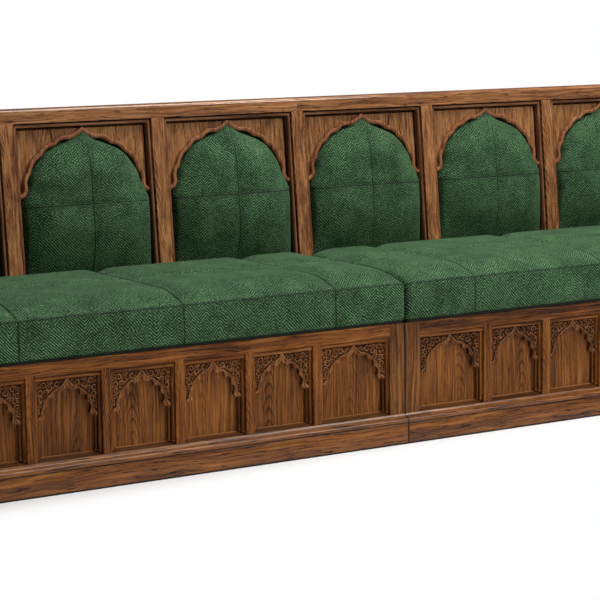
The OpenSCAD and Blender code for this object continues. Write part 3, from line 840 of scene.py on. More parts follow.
class StitchRule(Rule):
    """Sewing: one rounded stitch at every step along the seams."""

    def __init__(self) -> None:
        """Builds the group's nodes."""
        floats = dict.fromkeys(("Step", "Stitch Length", "Thread Radius"), "NodeSocketFloat")
        super().__init__("stitches_along_seams", floats | {"Material": "NodeSocketMaterial"})
        tree, given = self.tree, self.given
        curve = add_node(tree, "GeometryNodeMeshToCurve", {0: given["Geometry"]})
        even = add_node(tree, "GeometryNodeResampleCurve",
                        {"Curve": curve.outputs[0], "Length": given["Step"]}, mode="LENGTH")
        tangent = add_node(tree, "GeometryNodeInputTangent")
        turn = add_node(tree, "FunctionNodeAlignRotationToVector", {"Vector": tangent.outputs[0]}, axis="Z")
        bead = add_node(tree, "GeometryNodeMeshUVSphere", {"Segments": 5, "Rings": 4, "Radius": 1.0})
        half = add_node(tree, "ShaderNodeMath", {0: given["Stitch Length"], 1: 0.5}, operation="MULTIPLY")
        thread = given["Thread Radius"]
        size = add_node(tree, "ShaderNodeCombineXYZ", {"X": thread, "Y": thread, "Z": half.outputs[0]})
        placed = add_node(tree, "GeometryNodeInstanceOnPoints",
                          {"Points": even.outputs[0], "Instance": bead.outputs[0],
                           "Rotation": turn.outputs[0], "Scale": size.outputs[0]})
        self.finish(placed.outputs[0])


class LeafRule(Rule):
    """Carved leaves: one leaf on every point, turned and scaled as the point says."""

    def __init__(self) -> None:
        """Builds the group's nodes."""
        super().__init__("leaves_on_points", {"Leaf": "NodeSocketObject", "Size": "NodeSocketFloat",
                                              "Material": "NodeSocketMaterial"})
        tree, given = self.tree, self.given
        leaf = add_node(tree, "GeometryNodeObjectInfo", {"Object": given["Leaf"]})
        lean, spread = (add_node(tree, "GeometryNodeInputNamedAttribute", {"Name": name},
                                 data_type="FLOAT_VECTOR") for name in ("lean", "spread"))
        turn = add_node(tree, "FunctionNodeEulerToRotation", {0: lean.outputs[0]})
        size = add_node(tree, "ShaderNodeVectorMath", {0: spread.outputs[0], "Scale": given["Size"]},
                        operation="SCALE")
        placed = add_node(tree, "GeometryNodeInstanceOnPoints",
                          {"Points": given["Geometry"], "Instance": leaf.outputs["Geometry"],
                           "Rotation": turn.outputs[0], "Scale": size.outputs[0]})
        self.finish(placed.outputs[0])


def steps_between(start: float, stop: float, step: float) -> list[float]:
    """Divides a length evenly into steps no longer than the given one, ends included."""
    return list(np.linspace(start, stop, max(int(math.ceil(abs(stop - start) / step)), 1) + 1))


def with_seams(places: list[float], seams: list[float], near: tuple[float, ...], clear: float) -> np.ndarray:
    """Adds lines beside each seam to a list of places, and drops what is too close to them.

    Args:
        places: Places along one direction.
        seams: Places of the seams.
        near: Distances from a seam at which a line lies.
        clear: Least distance of another place from these lines.

    Returns:
        The places in order.
    """
    lines = sorted({round(s + side * d, 4) for s in seams for d in near for side in (-1, 1)})
    lines = [p for p in lines if places[0] < p < places[-1]]
    kept = [p for p in places[1:-1] if all(abs(p - q) > clear for q in lines)]
    return np.array(sorted([places[0], places[-1]] + kept + lines))


def puff(rows: np.ndarray, held: np.ndarray, pressure: float, reach: float, closed: bool) -> np.ndarray:
    """Blows up a cloth skin between its held points with Blender's cloth simulation.

    Args:
        rows: Rings of points in millimetres, with the skin's outside to the left of their order.
        held: True for the points that stay.
        pressure: Blender's cloth pressure.
        reach: Largest way that a point may move, in millimetres.
        closed: Whether each ring closes on itself.

    Returns:
        How far each point moved, in millimetres.
    """
    shape = Shape()
    shape.grid(rows, closed=closed)
    cloth = new_object("cloth_blank", rows.reshape(-1, 3), [], shape.faces)
    group = cloth.vertex_groups.new(name="held")
    group.add(np.flatnonzero(held.ravel()).tolist(), 1.0, "REPLACE")
    modifier = cloth.modifiers.new("cloth", "CLOTH")
    for key, value in CLOTH.items():
        setattr(modifier.settings, key, value)
    modifier.settings.uniform_pressure_force = pressure
    modifier.settings.effector_weights.gravity = 0.0
    modifier.collision_settings.use_collision = False
    modifier.point_cache.frame_start = 1
    modifier.point_cache.frame_end = CLOTH_FRAMES
    scene = bpy.context.scene
    for frame_number in range(1, CLOTH_FRAMES + 1):
        scene.frame_set(frame_number)
    done = cloth.evaluated_get(bpy.context.evaluated_depsgraph_get()).to_mesh()
    moved = np.zeros(rows.size)
    done.vertices.foreach_get("co", moved)
    moved = moved.reshape(rows.shape) / MM - rows
    mesh = cloth.data
    bpy.data.objects.remove(cloth)
    bpy.data.meshes.remove(mesh)
    scene.frame_set(1)
    length = np.linalg.norm(moved, axis=2, keepdims=True)
    return moved * np.minimum(1.0, reach / np.maximum(length, 1e-9))


def refine(values: np.ndarray, coarse: tuple[np.ndarray, np.ndarray],
           fine: tuple[np.ndarray, np.ndarray]) -> np.ndarray:
    """Carries values of a coarse grid over to a fine one and softens the steps.

    Args:
        values: Values on the coarse grid.
        coarse: Its places along both directions.
        fine: The fine grid's places along both directions.

    Returns:
        The values on the fine grid.
    """
    for axis in (0, 1):
        values = np.apply_along_axis(lambda line: np.interp(fine[axis], coarse[axis], line), axis, values)
    for _ in range(3):
        values[1:-1] = values[1:-1] * 0.5 + (values[:-2] + values[2:]) * 0.25
        values[:, 1:-1] = values[:, 1:-1] * 0.5 + (values[:, :-2] + values[:, 2:]) * 0.25
    return values


def run_length(points: np.ndarray, axis: int) -> np.ndarray:
    """Adds up the distances between neighbouring points of a grid along one of its directions."""
    steps = np.linalg.norm(np.diff(points, axis=axis), axis=2)
    start = np.zeros_like(np.take(steps, [0], axis=axis))
    return np.concatenate([start, np.cumsum(steps, axis=axis)], axis=axis)


class Seams:
    """Lines of stitching that are gathered from a cover and sewn as one piece."""

    def __init__(self, rule: StitchRule, thread: bpy.types.Material) -> None:
        """Starts without lines."""
        self.rule = rule
        self.thread = thread
        self.lines: list[np.ndarray] = []

    def add(self, line: np.ndarray) -> None:
        """Adds a line of stitching."""
        self.lines.append(line)

    def sew(self, name: str, step: float = 7.0, length: float = 5.0, radius: float = 0.7) -> bpy.types.Object:
        """Makes all the stitches.

        Args:
            name: The piece's name.
            step: Distance from stitch to stitch.
            length: Length of a stitch.
            radius: Radius of its thread.

        Returns:
            The new object.
        """
        starts = np.cumsum([0] + [len(line) for line in self.lines])
        edges = [(int(start) + i, int(start) + i + 1)
                 for start, line in zip(starts, self.lines) for i in range(len(line) - 1)]
        return self.rule.apply(new_object(name, np.vstack(self.lines), edges, []),
                               {"Step": step * MM, "Stitch Length": length * MM, "Thread Radius": radius * MM,
                                "Material": self.thread})


@dataclass
class BoxPart:
    """A part of one of the two seat boxes, on side -1 or 1."""

    side: int

    @property
    def label(self) -> str:
        """Left or right, as the CAD nodes say it."""
        return "left" if self.side < 0 else "right"


@dataclass
class SeatCushion(BoxPart):
    """A loose seat cushion with sewn channels.

    Its grid has stations along X and a loop round its section: from 0 up the front, from TOP_FROM over the
    top, from REAR_FROM down the rear and from UNDER_FROM to 8 under it. Stations beyond the ends, up to cap
    away, draw the end caps.
    """

    pressure: float = 7.0
    reach: float = 11.0
    groove: float = 2.4
    dip: float = 14.0
    spread: float = 18.0
    seam_w: float = 1.8
    front_h: float = 109.0
    rear_round: float = 14.0
    cap: float = 100.0
    seam_stop: float = REAR_FROM + 0.3
    # Height and darkness of the painted shadow along the cushion's foot, and darkness of the painted shade in
    # its seams.
    painted_foot_shadow_h: float = 7.0
    seam_painted_shade: float = 0.78
    painted_foot_shadow_dark: float = 1.16

    @property
    def seams_x(self) -> list[float]:
        """Places of the seams that run from front to back."""
        return [(i + 0.5) * SIZES.bay_pitch for i in range(SIZES.places)]

    def ends(self) -> tuple[float, float]:
        """Returns where the cushion starts and stops along X in the right-hand box."""
        return SIZES.cushion_split / 2, SIZES.box_len - SIZES.cushion_split / 2

    def crown(self, x: np.ndarray, y: np.ndarray) -> np.ndarray:
        """Finds the height of the seat's top.

        Args:
            x: Places along the box.
            y: Distances behind the face frame.

        Returns:
            Heights above the floor.
        """
        s = SIZES
        low, high = self.ends()

        def ease(d: np.ndarray, w: float) -> np.ndarray:
            """Rises from 0 to 1 over w."""
            return 1 - (1 - np.clip(d / w, 0, 1)) ** 2

        from_end = ease(np.minimum(x - low, high - x), s.end_w)
        share = ease(y + s.cushion_over, s.crown_w) * (0.5 + 0.5 * from_end)
        cross = np.max([bell(x - p, s.seam_spread) for p in self.seams_x], axis=0)
        dip = np.maximum(0.72 * cross, bell(y - s.cushion_seam_y, self.spread))
        return s.box_h + s.cushion_edge + (s.cushion_crown - self.dip * dip) * share

    def stations(self, fine: bool) -> tuple[np.ndarray, np.ndarray]:
        """Chooses the lines of the cushion's grid.

        Args:
            fine: Whether for the final mesh or for the simulation.

        Returns:
            Places along X with the end caps' rings beyond them, and places round the section.
        """
        low, high = self.ends()
        if fine:
            near = (0.0, 1.4, 3.0, 4.6, 8.0, 13.0)
            ends = [0, 0.8, 2, 4, 7, 11, 16, 22, 29, 37]
            body = steps_between(low + 45, high - 45, 7.5)
            rings = 12
            front = [0, 1, 3, 6, 10, 15, 20, 26, 32] + steps_between(38, 98, 6.0)
            front += [102, 105, 107.4, self.front_h]
            top = steps_between(0, 1, 0.0135)
        else:
            near = (0.0,)
            ends = [0, 6, 16, 30]
            body = steps_between(low + 45, high - 45, 15)
            rings = 5
            front = steps_between(0, self.front_h, 13)
            top = steps_between(0, 1, 0.028)
        along = [low + e for e in ends] + body + [high - e for e in ends[::-1]]
        xs = with_seams(along, self.seams_x, near, 2.0)
        caps = np.linspace(1, 0, rings + 1)[:-1]
        stations = np.concatenate([low - caps * self.cap, xs, high + caps[::-1] * self.cap])
        rear = SIZES.screen_y(SIZES.box_h + SIZES.cushion_edge) - SIZES.cushion_back_gap
        scale = 1 / (rear + SIZES.cushion_over)
        seam = (SIZES.cushion_seam_y + SIZES.cushion_over) / (rear + SIZES.cushion_over)
        tops = with_seams(top, [seam], tuple(n * scale for n in near), 2.0 * scale)
        start = np.array([0.0, 1.5, 4.5, 8.0, 12.0]) * scale if fine else np.array([0.0])
        tops = np.concatenate([start, tops[tops > start[-1] + 0.004]])
        rear_steps = np.linspace(0, 1, 16 if fine else 7)[1:]
        under = np.linspace(0, 1, 14 if fine else 7)[1:-1]
        up = np.array(front) / self.front_h
        return stations, np.concatenate([up, TOP_FROM + tops[1:] * (REAR_FROM - TOP_FROM),
                                         REAR_FROM + rear_steps, UNDER_FROM + under])

    def form(self, stations: np.ndarray, loop: np.ndarray) -> np.ndarray:
        """Finds the cushion's points before its cloth is blown up.

        Args:
            stations: Places along X, with the end caps' rings beyond them.
            loop: Places round the section.

        Returns:
            Rings of points in the right-hand box, from the face frame, in millimetres.
        """
        s = SIZES
        low, high = self.ends()
        x = np.clip(stations, low, high)
        beyond = (np.abs(stations - x) / self.cap)[:, None]
        d = np.clip(np.minimum(x - low, high - x) / s.cushion_round, 0, 1)
        inset = (s.cushion_round * (1 - np.sqrt(1 - (1 - d) ** 2)))[:, None]
        t = loop[None, :]
        z0, edge, turn = s.box_h + s.cushion_lift, s.box_h + s.cushion_edge, self.rear_round
        hold = np.interp(t, [0, 0.02, 0.055, 0.12, 0.18, 0.28, 0.46, 0.7, 0.9, 1.0],
                         [11, 7.4, 4.4, 2.0, 0.9, 0.2, 0.0, 0.4, 1.2, 2.2])
        front = inset - s.cushion_over
        rear, foot = (s.screen_y(height) - s.cushion_back_gap - inset
                      for height in (edge + s.cushion_crown * 0.8 - inset, z0))
        xs = np.broadcast_to(x[:, None], (len(x), len(loop)))
        over = np.clip((t - TOP_FROM) / (REAR_FROM - TOP_FROM), 0, 1)
        top_y = front + 3 + over * (rear - turn - front - 3)
        top_z = self.crown(xs, top_y) - inset
        last_z = self.crown(xs, rear - turn + 0 * xs) - inset
        r = np.clip(t - REAR_FROM, 0, 1)
        angle = np.clip(r / 0.25, 0, 1) * math.pi / 2
        rear_y = np.where(r < 0.25, rear - turn + turn * np.sin(angle),
                          rear + (foot - rear) * (r - 0.25) / 0.75)
        rear_z = np.where(r < 0.25, last_z - turn * (1 - np.cos(angle)),
                          (last_z - turn) + (z0 - last_z + turn) * (r - 0.25) / 0.75)
        under_y = foot + (front + hold[0, 0] - foot) * np.clip(t - UNDER_FROM, 0, 1)
        part = [t <= TOP_FROM, t <= REAR_FROM, t <= UNDER_FROM]
        y = np.select(part, [front + hold, top_y, rear_y], under_y)
        z = np.select(part, [z0 + t * (edge - z0) - inset * t, top_z, rear_z], z0)
        y = y + (np.clip(y, -s.cushion_over + 70, s.screen_set - 80) - y) * beyond
        z = z + (z0 + 55 - z) * beyond
        return np.stack([xs + 0 * y, y, z], axis=2)

    def blown(self, stations: np.ndarray, loop: np.ndarray) -> np.ndarray:
        """Blows up the cloth between its seams on a coarse grid.

        Args:
            stations: The fine grid's places along X.
            loop: Its places round the section.

        Returns:
            How far each point of the fine grid moves, in millimetres.
        """
        low, high = self.ends()
        places, t = self.stations(fine=False)
        coarse = self.form(places, t)
        on_seam = np.isclose(places[:, None], np.array(self.seams_x)[None], atol=0.01).any(1)[:, None]
        near_y = np.abs(coarse[:, :, 1] - SIZES.cushion_seam_y) < 3
        on_top = (t > TOP_FROM) & (t < REAR_FROM)
        held = (on_seam & (t < self.seam_stop)) | (near_y & on_top) | (t > REAR_FROM + 0.6) | (t < 0.08)
        held |= np.isclose(t, TOP_FROM, atol=0.001)
        held |= ((places < low - 60) | (places > high + 60))[:, None]
        moved = puff(coarse, held, self.pressure, self.reach, closed=True)
        moved[:, :, 0] *= 0.25
        moved[:, :, 1] = np.clip(moved[:, :, 1], -4.0, 2.0)
        return refine(moved, (places, t), (stations, loop))

    def build(self, cloth: bpy.types.Material, seams: Seams) -> None:
        """Builds the cover and puts it on its body.

        Args:
            cloth: The tweed.
            seams: Gets the cover's lines of stitching.
        """
        s = SIZES
        low, high = self.ends()
        stations, loop = self.stations(fine=True)
        rows = self.form(stations, loop)
        rows = rows + self.blown(stations, loop)
        near = np.min([np.abs(stations - p) for p in self.seams_x], axis=0)[:, None]
        across = np.abs(rows[:, :, 1] - s.cushion_seam_y)
        on_top = (loop > TOP_FROM) & (loop < REAR_FROM)
        line = np.maximum(bell(near, self.seam_w) * (loop < self.seam_stop),
                          bell(across, self.seam_w) * on_top)
        line = np.maximum(line, bell(np.abs(loop - TOP_FROM) * self.front_h, self.seam_w))
        # Painted shadow: a dark strip along the foot of the front and the rear, where the cushion sits on its
        # box.
        at_foot = (loop < 0.06) | (loop > UNDER_FROM - 0.03)
        painted_foot_shadow = at_foot * (rows[:, :, 2] < s.box_h + s.cushion_lift + self.painted_foot_shadow_h)
        inside = (stations >= low + 1) & (stations <= high - 1)
        line = line * inside[:, None]
        sink = line * self.groove
        rows[:, :, 2] -= sink * (loop >= TOP_FROM)
        rows[:, :, 1] += sink * (loop <= TOP_FROM) * 0.8
        on_end = ((stations < low) | (stations > high))[:, None]
        away = np.where(stations < low, -1.0, 1.0)[:, None] * (rows[:, :, 1] + s.cushion_over)
        rise = np.where(on_end, rows[:, :, 2] - s.box_h - s.cushion_lift, run_length(rows, 1))
        lay = np.stack([rows[:, :, 0] + on_end * away, rise, 0 * line], axis=2) * [self.side, 1, 1]
        rows[:, :, 1] += s.face_y
        rows[:, :, 0] *= self.side
        for p in self.seams_x:
            for offset in (-STITCH_GAP, STITCH_GAP):
                i = int(np.argmin(np.abs(stations - (p + offset))))
                seams.add(rows[i, (loop >= 0.1) & (loop < REAR_FROM + 0.1)])
        depths = rows[len(stations) // 2, :, 1] - s.face_y - s.cushion_seam_y
        for offset in (-STITCH_GAP, STITCH_GAP):
            seams.add(rows[inside, int(np.argmin(np.abs(depths - offset) + 1000 * ~on_top))])
        seams.add(rows[inside, int(np.flatnonzero(loop > TOP_FROM)[0])])
        shape = Shape()
        shape.grid(rows, closed=True, caps=True)
        # The seam mark is painted shade in the seams and the painted shadow along the cushion's foot.
        seam = np.maximum(self.seam_painted_shade * line, self.painted_foot_shadow_dark * painted_foot_shadow)
        marks = {"seam": seam.ravel(), "lay": lay.reshape(-1, 3)}
        piece = shape.build(f"seat_cushion_cover_{self.label}", cloth, smooth=60.0, merge=0.0, marks=marks)
        settle(piece, f"seat_{self.label}", "green_fabric", f"seat_cover_{self.label}")


@dataclass
class BackPads:
    """The six arched pads of the back, blown up once and fitted in each bay."""

    arch: Arch
    pressure: float = 4.0
    reach: float = 5.0
    groove: float = 1.8
    tuck: float = 6.8
    rim: float = 28.0
    spare: float = 3.0
    out: float = 1.2
    roll: float = 12.0
    dome: float = 95.0
    dip: float = 3.6
    # Width and darkness of the painted shade in the seams, and place, width and darkness of a fainter painted
    # line beside each.
    seam_w: float = 1.1
    seam_painted_shade: float = 0.68
    second: float = 7.8
    second_w: float = 0.9
    second_painted_shade: float = 0.5
    uneven: float = 0.7
    middle_z: float = 300.0
    half_x: float = 195.0
    half_z: float = 230.0

    def outline(self) -> np.ndarray:
        """Draws the pad's right side from its foot to its tip, smooth inside the moulding's cusps.

        Returns:
            Rows of x and height up the slope.
        """
        s = SIZES
        path, cusps = self.arch.side(12)
        inner = beside(path, cusps, -self.tuck)[cusps[-2::-1]] + [0, s.arch_foot]
        inner[-1, 0] = 0.0
        jamb = s.pad_half + self.out
        knots = np.vstack([[jamb, s.pad_foot], [jamb, s.arch_foot - 60], [jamb, s.arch_foot - 24], inner])
        rows = []
        for i in range(len(knots) - 1):
            a, b = knots[i], knots[i + 1]
            before = (b - knots[max(i - 1, 0)]) / 2
            after = (knots[min(i + 2, len(knots) - 1)] - a) / 2
            for t in np.linspace(0, 1, 16, endpoint=False):
                rows.append(a * (2 * t ** 3 - 3 * t ** 2 + 1) + before * (t ** 3 - 2 * t ** 2 + t)
                            + b * (3 * t ** 2 - 2 * t ** 3) + after * (t ** 3 - t ** 2))
        rows.append(knots[-1])
        return np.array(rows)

    def widths(self, heights: np.ndarray) -> np.ndarray:
        """Finds the pad's half width at heights up the slope."""
        edge = self.outline()
        return np.maximum(np.interp(heights, edge[:, 1], edge[:, 0]), 0.6)

    def stations(self, fine: bool) -> tuple[np.ndarray, np.ndarray]:
        """Chooses the lines of a pad's grid: shares of its half width, and heights."""
        s = SIZES
        half = s.pad_half
        top = s.arch_foot + s.arch_rise - 4
        near = (0.0, 1.2, 2.6, 4.6, 6.6, self.second, 9.0, 13.0) if fine else (0.0,)
        step = 6.5 if fine else 13.0
        heights = with_seams(steps_between(s.pad_foot, top, step), [s.pad_seam], near, 2.0)
        near = tuple(n / half for n in near)
        shares = with_seams(steps_between(-1, 1, step / half), [0.0], near, 2.0 / half)
        if fine:
            edge = [0.995, 0.986, 0.974, 0.958]
            shares = np.array(sorted(set(shares) | set(edge) | {-e for e in edge}))
            shares = shares[np.concatenate([[True], np.diff(shares) > 0.003])]
        return shares, heights

    def swell(self, height: np.ndarray) -> np.ndarray:
        """Finds the share of the full swell that a pad's middle line has at a height, as in the part."""
        s = SIZES
        lift = np.clip((height - s.pad_foot) / s.pad_lift, 0, 1)
        fall = np.clip((s.arch_foot + s.arch_rise + 6 - height) / s.pad_fall, 0, 1)
        return np.sin(lift * math.pi / 2) * np.sin(fall * math.pi / 2)

    def depth(self, x: np.ndarray, height: np.ndarray) -> np.ndarray:
        """Finds the depth of the pad's face behind the stiles, without its narrow seams.

        Args:
            x: Distances from the pad's middle line.
            height: Heights up the slope.

        Returns:
            Depths, negative in front of the stiles.
        """
        s = SIZES
        edge = self.outline()
        place = np.stack([np.abs(x), height], axis=-1)
        gap = np.full(x.shape, 1e9)
        for a, b in zip(edge, edge[1:]):
            along = np.clip(((place - a) @ (b - a)) / max(float((b - a) @ (b - a)), 1e-9), 0, 1)
            gap = np.minimum(gap, np.linalg.norm(place - a - along[..., None] * (b - a), axis=-1))
        roll = np.sqrt(1 - (1 - np.clip(gap / self.roll, 0, 1)) ** 2)
        body = 0.42 * roll + 0.58 * np.sin(np.clip(gap / self.dome, 0, 1) * math.pi / 2)
        lift = np.sin(np.clip((height - s.pad_foot) / s.pad_lift, 0, 1) * math.pi / 2)
        cross = np.maximum(bell(x, 13.0), bell(height - s.pad_seam, 12))
        out = (self.rim + s.pad_crown_out - self.spare) * body * lift
        return self.rim - out + self.dip * body * lift * cross

    def surface(self, shares: np.ndarray, heights: np.ndarray) -> np.ndarray:
        """Finds the points of a pad's face in its bay's own frame."""
        half = self.widths(heights)[:, None]
        x = shares[None, :] * half
        y = self.depth(x, heights[:, None] + 0 * x)
        return np.stack([x, y, heights[:, None] + 0 * x], axis=2)

    def blown(self, shares: np.ndarray, heights: np.ndarray) -> np.ndarray:
        """Blows up a pad's cloth between its seams on a coarse grid.

        Args:
            shares: The fine grid's places across the pad.
            heights: Its heights.

        Returns:
            How far each point of the fine grid moves, in millimetres.
        """
        few_shares, few_heights = self.stations(fine=False)
        coarse = self.surface(few_shares, few_heights)
        held = np.zeros(coarse.shape[:2], bool)
        held[0] = held[-1] = held[:, 0] = held[:, -1] = True
        held |= np.isclose(few_shares, 0.0, atol=1e-6)[None, :]
        held |= np.isclose(few_heights, SIZES.pad_seam, atol=0.01)[:, None]
        moved = puff(coarse[:, ::-1], held[:, ::-1], self.pressure, self.reach, closed=False)[:, ::-1]
        moved[:, :, 1] = np.clip(moved[:, :, 1], -self.reach, 2.0)
        return refine(moved, (few_heights, few_shares), (heights, shares))

    def build(self, cloth: bpy.types.Material, seams: Seams) -> None:
        """Builds the six pads.

        Args:
            cloth: The tweed.
            seams: Gets the pads' lines of stitching.
        """
        s = SIZES
        shares, heights = self.stations(fine=True)
        rows = self.surface(shares, heights)
        rows = rows + self.blown(shares, heights)
        most = s.pad_edge_set - (s.pad_edge_set + s.pad_crown_out) * self.swell(heights)[:, None] - 1.5
        rows[:, :, 1] = np.maximum(rows[:, :, 1], np.minimum(most, self.rim))
        near_x = np.abs(rows[:, :, 0])
        rise = (heights - s.pad_seam)[:, None]
        line = np.maximum(bell(near_x, self.seam_w), bell(np.abs(rise) + 0 * near_x, self.seam_w))
        second = np.maximum(bell(rows[:, :, 0] - self.second, self.second_w),
                            bell(rise - self.second, self.second_w))
        line[:, [0, -1]] = second[:, [0, -1]] = 0
        rows[:, :, 1] += line * self.groove
        middle = int(np.argmin(np.abs(shares)))
        stitched = [(int(np.argmin(np.abs(shares * s.pad_half - offset))),
                     int(np.argmin(np.abs(heights - s.pad_seam - offset))))
                    for offset in (-STITCH_GAP, STITCH_GAP)]
        x, z = rows[:, :, 0] / self.half_x, (rows[:, :, 2] - self.middle_z) / self.half_z
        rng = np.random.default_rng(11)
        for number, centre in enumerate(s.bay_centres, 1):
            swell = rng.normal(0, 1, 4)
            extra = self.uneven * (swell[0] * np.sin(2.1 * x + swell[1]) * np.cos(1.7 * z + swell[2]))
            face = rows.copy()
            face[:, :, 1] += extra * np.clip(1 - x ** 4, 0, 1)
            ends = face[:, [-1, 0]].copy()
            ends[:, :, 1] = s.stile_t - 0.5
            run = run_length(face, 1)
            run = run - run[:, [middle]] + centre
            rise = np.broadcast_to(run_length(face, 0)[:, [middle]], run.shape)
            lay = np.stack([run, rise, 0 * run], axis=2)
            lay = np.concatenate([lay, lay[:, [-1, 0]]], axis=1)
            # Painted shade in the seams' creases, with a fainter painted line beside each.
            seam = np.maximum(self.seam_painted_shade * line, self.second_painted_shade * second)
            seam = np.concatenate([seam, 0 * line[:, :2]], axis=1)
            shape = Shape()
            shape.grid(np.concatenate([face, ends], axis=1), closed=True, caps=True)
            marks = {"seam": seam.ravel(), "lay": lay.reshape(-1, 3)}
            piece = shape.on_screen(centre).build(f"back_pad_cover_{number}", cloth, smooth=60.0, merge=0.0,
                                                  marks=marks)
            settle(piece, "booth", "green_fabric", f"back_pad_{number}")
            for i, j in stitched:
                for thread in (face[1:-1, i], face[j, 1:-1]):
                    seams.add(s.on_screen(thread + [centre, 0, 0]))


@dataclass(frozen=True)
class Scroll:
    """One spiral of the carving: its centre, radius, turning sense and starting angle."""

    x: float
    z: float
    radius: float
    sense: int
    start: float
    turns: float


@dataclass
class CarvedFrets(BoxPart):
    """The carved arches of one seat box: moulded band, scrolls and leaves on a sunk ground."""

    arch: Arch
    leaf_rule: LeafRule
    band_w: float = 8.8
    ground: float = 15.5
    head: float = 100.5

    @staticmethod
    def clear_of_band(x: float, z: float, outer: np.ndarray) -> float:
        """Finds how far a place is from the arch's band, with -1 for a place inside the arch."""
        limit = np.interp(x, outer[:, 0], outer[:, 1], left=200, right=-50)
        return -1.0 if z < limit else float(np.min(np.hypot(outer[:, 0] - x, outer[:, 1] - z)))

    def beside_lobes(self, arch: Arch, offset: float, whole: bool) -> np.ndarray:
        """Draws a line beside the arch whose lobes grow flatter with its distance.

        Args:
            arch: The arch's inner edge.
            offset: Distance of the line.
            whole: Whether both sides of the arch are drawn, or the right one only.

        Returns:
            Rows of x and z.
        """
        swell = 1.45 - 1.0 * offset / self.band_w
        path, cusps = arch.whole(8, swell) if whole else arch.side(8, swell)
        return beside(path, cusps, offset + 3.4 * (1.0 - swell))

    def scrolls(self, half: float, outer: np.ndarray) -> list[Scroll]:
        """Packs small spirals into one spandrel, the largest first.

        Args:
            half: Half width of the opening inside its bead.
            outer: Outer edge of the arch's band, from tip to foot.

        Returns:
            The spirals of the right-hand spandrel.
        """
        rng = np.random.default_rng(7)
        placed: list[Scroll] = []
        for radius, tries in ((9.4, 900), (7.0, 1800), (4.8, 3000), (3.2, 2400)):
            for _ in range(tries):
                x = rng.uniform(2.0, half - 0.85 * radius - 0.6)
                z = rng.uniform(1.0, self.head - 0.85 * radius - 0.6)
                sense = 1 if rng.random() < 0.5 else -1
                start = rng.uniform(0, 360)
                if self.clear_of_band(x, z, outer) < 0.9 * radius + 2.4:
                    continue
                if any(math.hypot(x - c.x, z - c.z) < 0.9 * (radius + c.radius) for c in placed):
                    continue
                placed.append(Scroll(x, z, radius, sense, start, 0.85 + 0.05 * radius))
        return placed

    def scroll_line(self, scroll: Scroll) -> tuple[np.ndarray, np.ndarray]:
        """Draws one spiral.

        Args:
            scroll: The spiral.

        Returns:
            Rows of x, depth and z, and the vine's radius at each.
        """
        t = np.linspace(0, 1, 10 + int(1.6 * scroll.radius))
        angle = math.radians(scroll.start) + scroll.sense * t * scroll.turns * 2 * math.pi
        reach = scroll.radius * (1.04 - 0.8 * t ** 0.9)
        radii = (0.9 + 0.06 * scroll.radius) * (1.2 - 0.35 * t) + 0.9 * bell(1 - t, 0.09)
        depth = self.ground - 1.6 - 1.9 * np.sin(math.pi * np.clip(t * 0.85 + 0.12, 0, 1))
        x, z = scroll.x + np.cos(angle) * reach, scroll.z + np.sin(angle) * reach
        return np.column_stack([x, depth, z]), radii

    def leaf_points(self, half: float, outer: np.ndarray,
                    scrolls: list[Scroll]) -> list[tuple[float, float, float, float]]:
        """Finds where leaves fill the ground between the scrolls.

        Args:
            half: Half width of the opening inside its bead.
            outer: Outer edge of the arch's band, from tip to foot.
            scrolls: The spandrel's spirals.

        Returns:
            For each leaf its x, z, angle and size.
        """
        placed: list[tuple[float, float, float, float]] = []
        for z in np.arange(2.0, self.head - 1.5, 2.3):
            for x in np.arange(3.0, half - 1.0, 2.3):
                if self.clear_of_band(x, z, outer) < 3.0 or half - x < 1.8 or self.head - z < 1.8:
                    continue
                gaps = [math.hypot(x - c.x, z - c.z) - c.radius for c in scrolls]
                nearest = int(np.argmin(gaps))
                if gaps[nearest] < 0.9 or any(math.hypot(x - p[0], z - p[1]) < 3.9 for p in placed):
                    continue
                c = scrolls[nearest]
                angle = math.atan2(z - c.z, x - c.x) + c.sense * 1.05
                placed.append((x, z, angle, min(0.85, 0.46 + gaps[nearest] * 0.1)))
        return placed

    def leaf(self) -> bpy.types.Object:
        """Builds the small pointed leaf that the rule repeats, 10 mm long."""
        shape = Shape()
        line = np.linspace(0, 1, 6)
        width = np.array([0.35, 1.5, 2.0, 1.6, 0.9, 0.1])
        rows = np.zeros((6, 5, 3))
        for i, (t, w) in enumerate(zip(line, width)):
            for j, across in enumerate((-1, -0.5, 0, 0.5, 1)):
                crest = 1.2 * (1 - across ** 2) - 0.45 * (1 - abs(across)) * (abs(across) < 0.1)
                depth = -crest * math.sin(math.pi * min(t * 0.9 + 0.1, 1))
                rows[i, j] = (t * 10 - 3, depth, across * w + 1.2 * t * t)
        shape.grid(rows)
        base = rows[:, [0, 2, 4]].copy()
        base[:, :, 1] = 0.8
        shape.grid(np.stack([rows[:, 0], base[:, 0]]))
        shape.grid(np.stack([rows[:, 4], base[:, 2]]))
        shape.grid(base)
        return shape.build("carved_leaf", None, smooth=50)

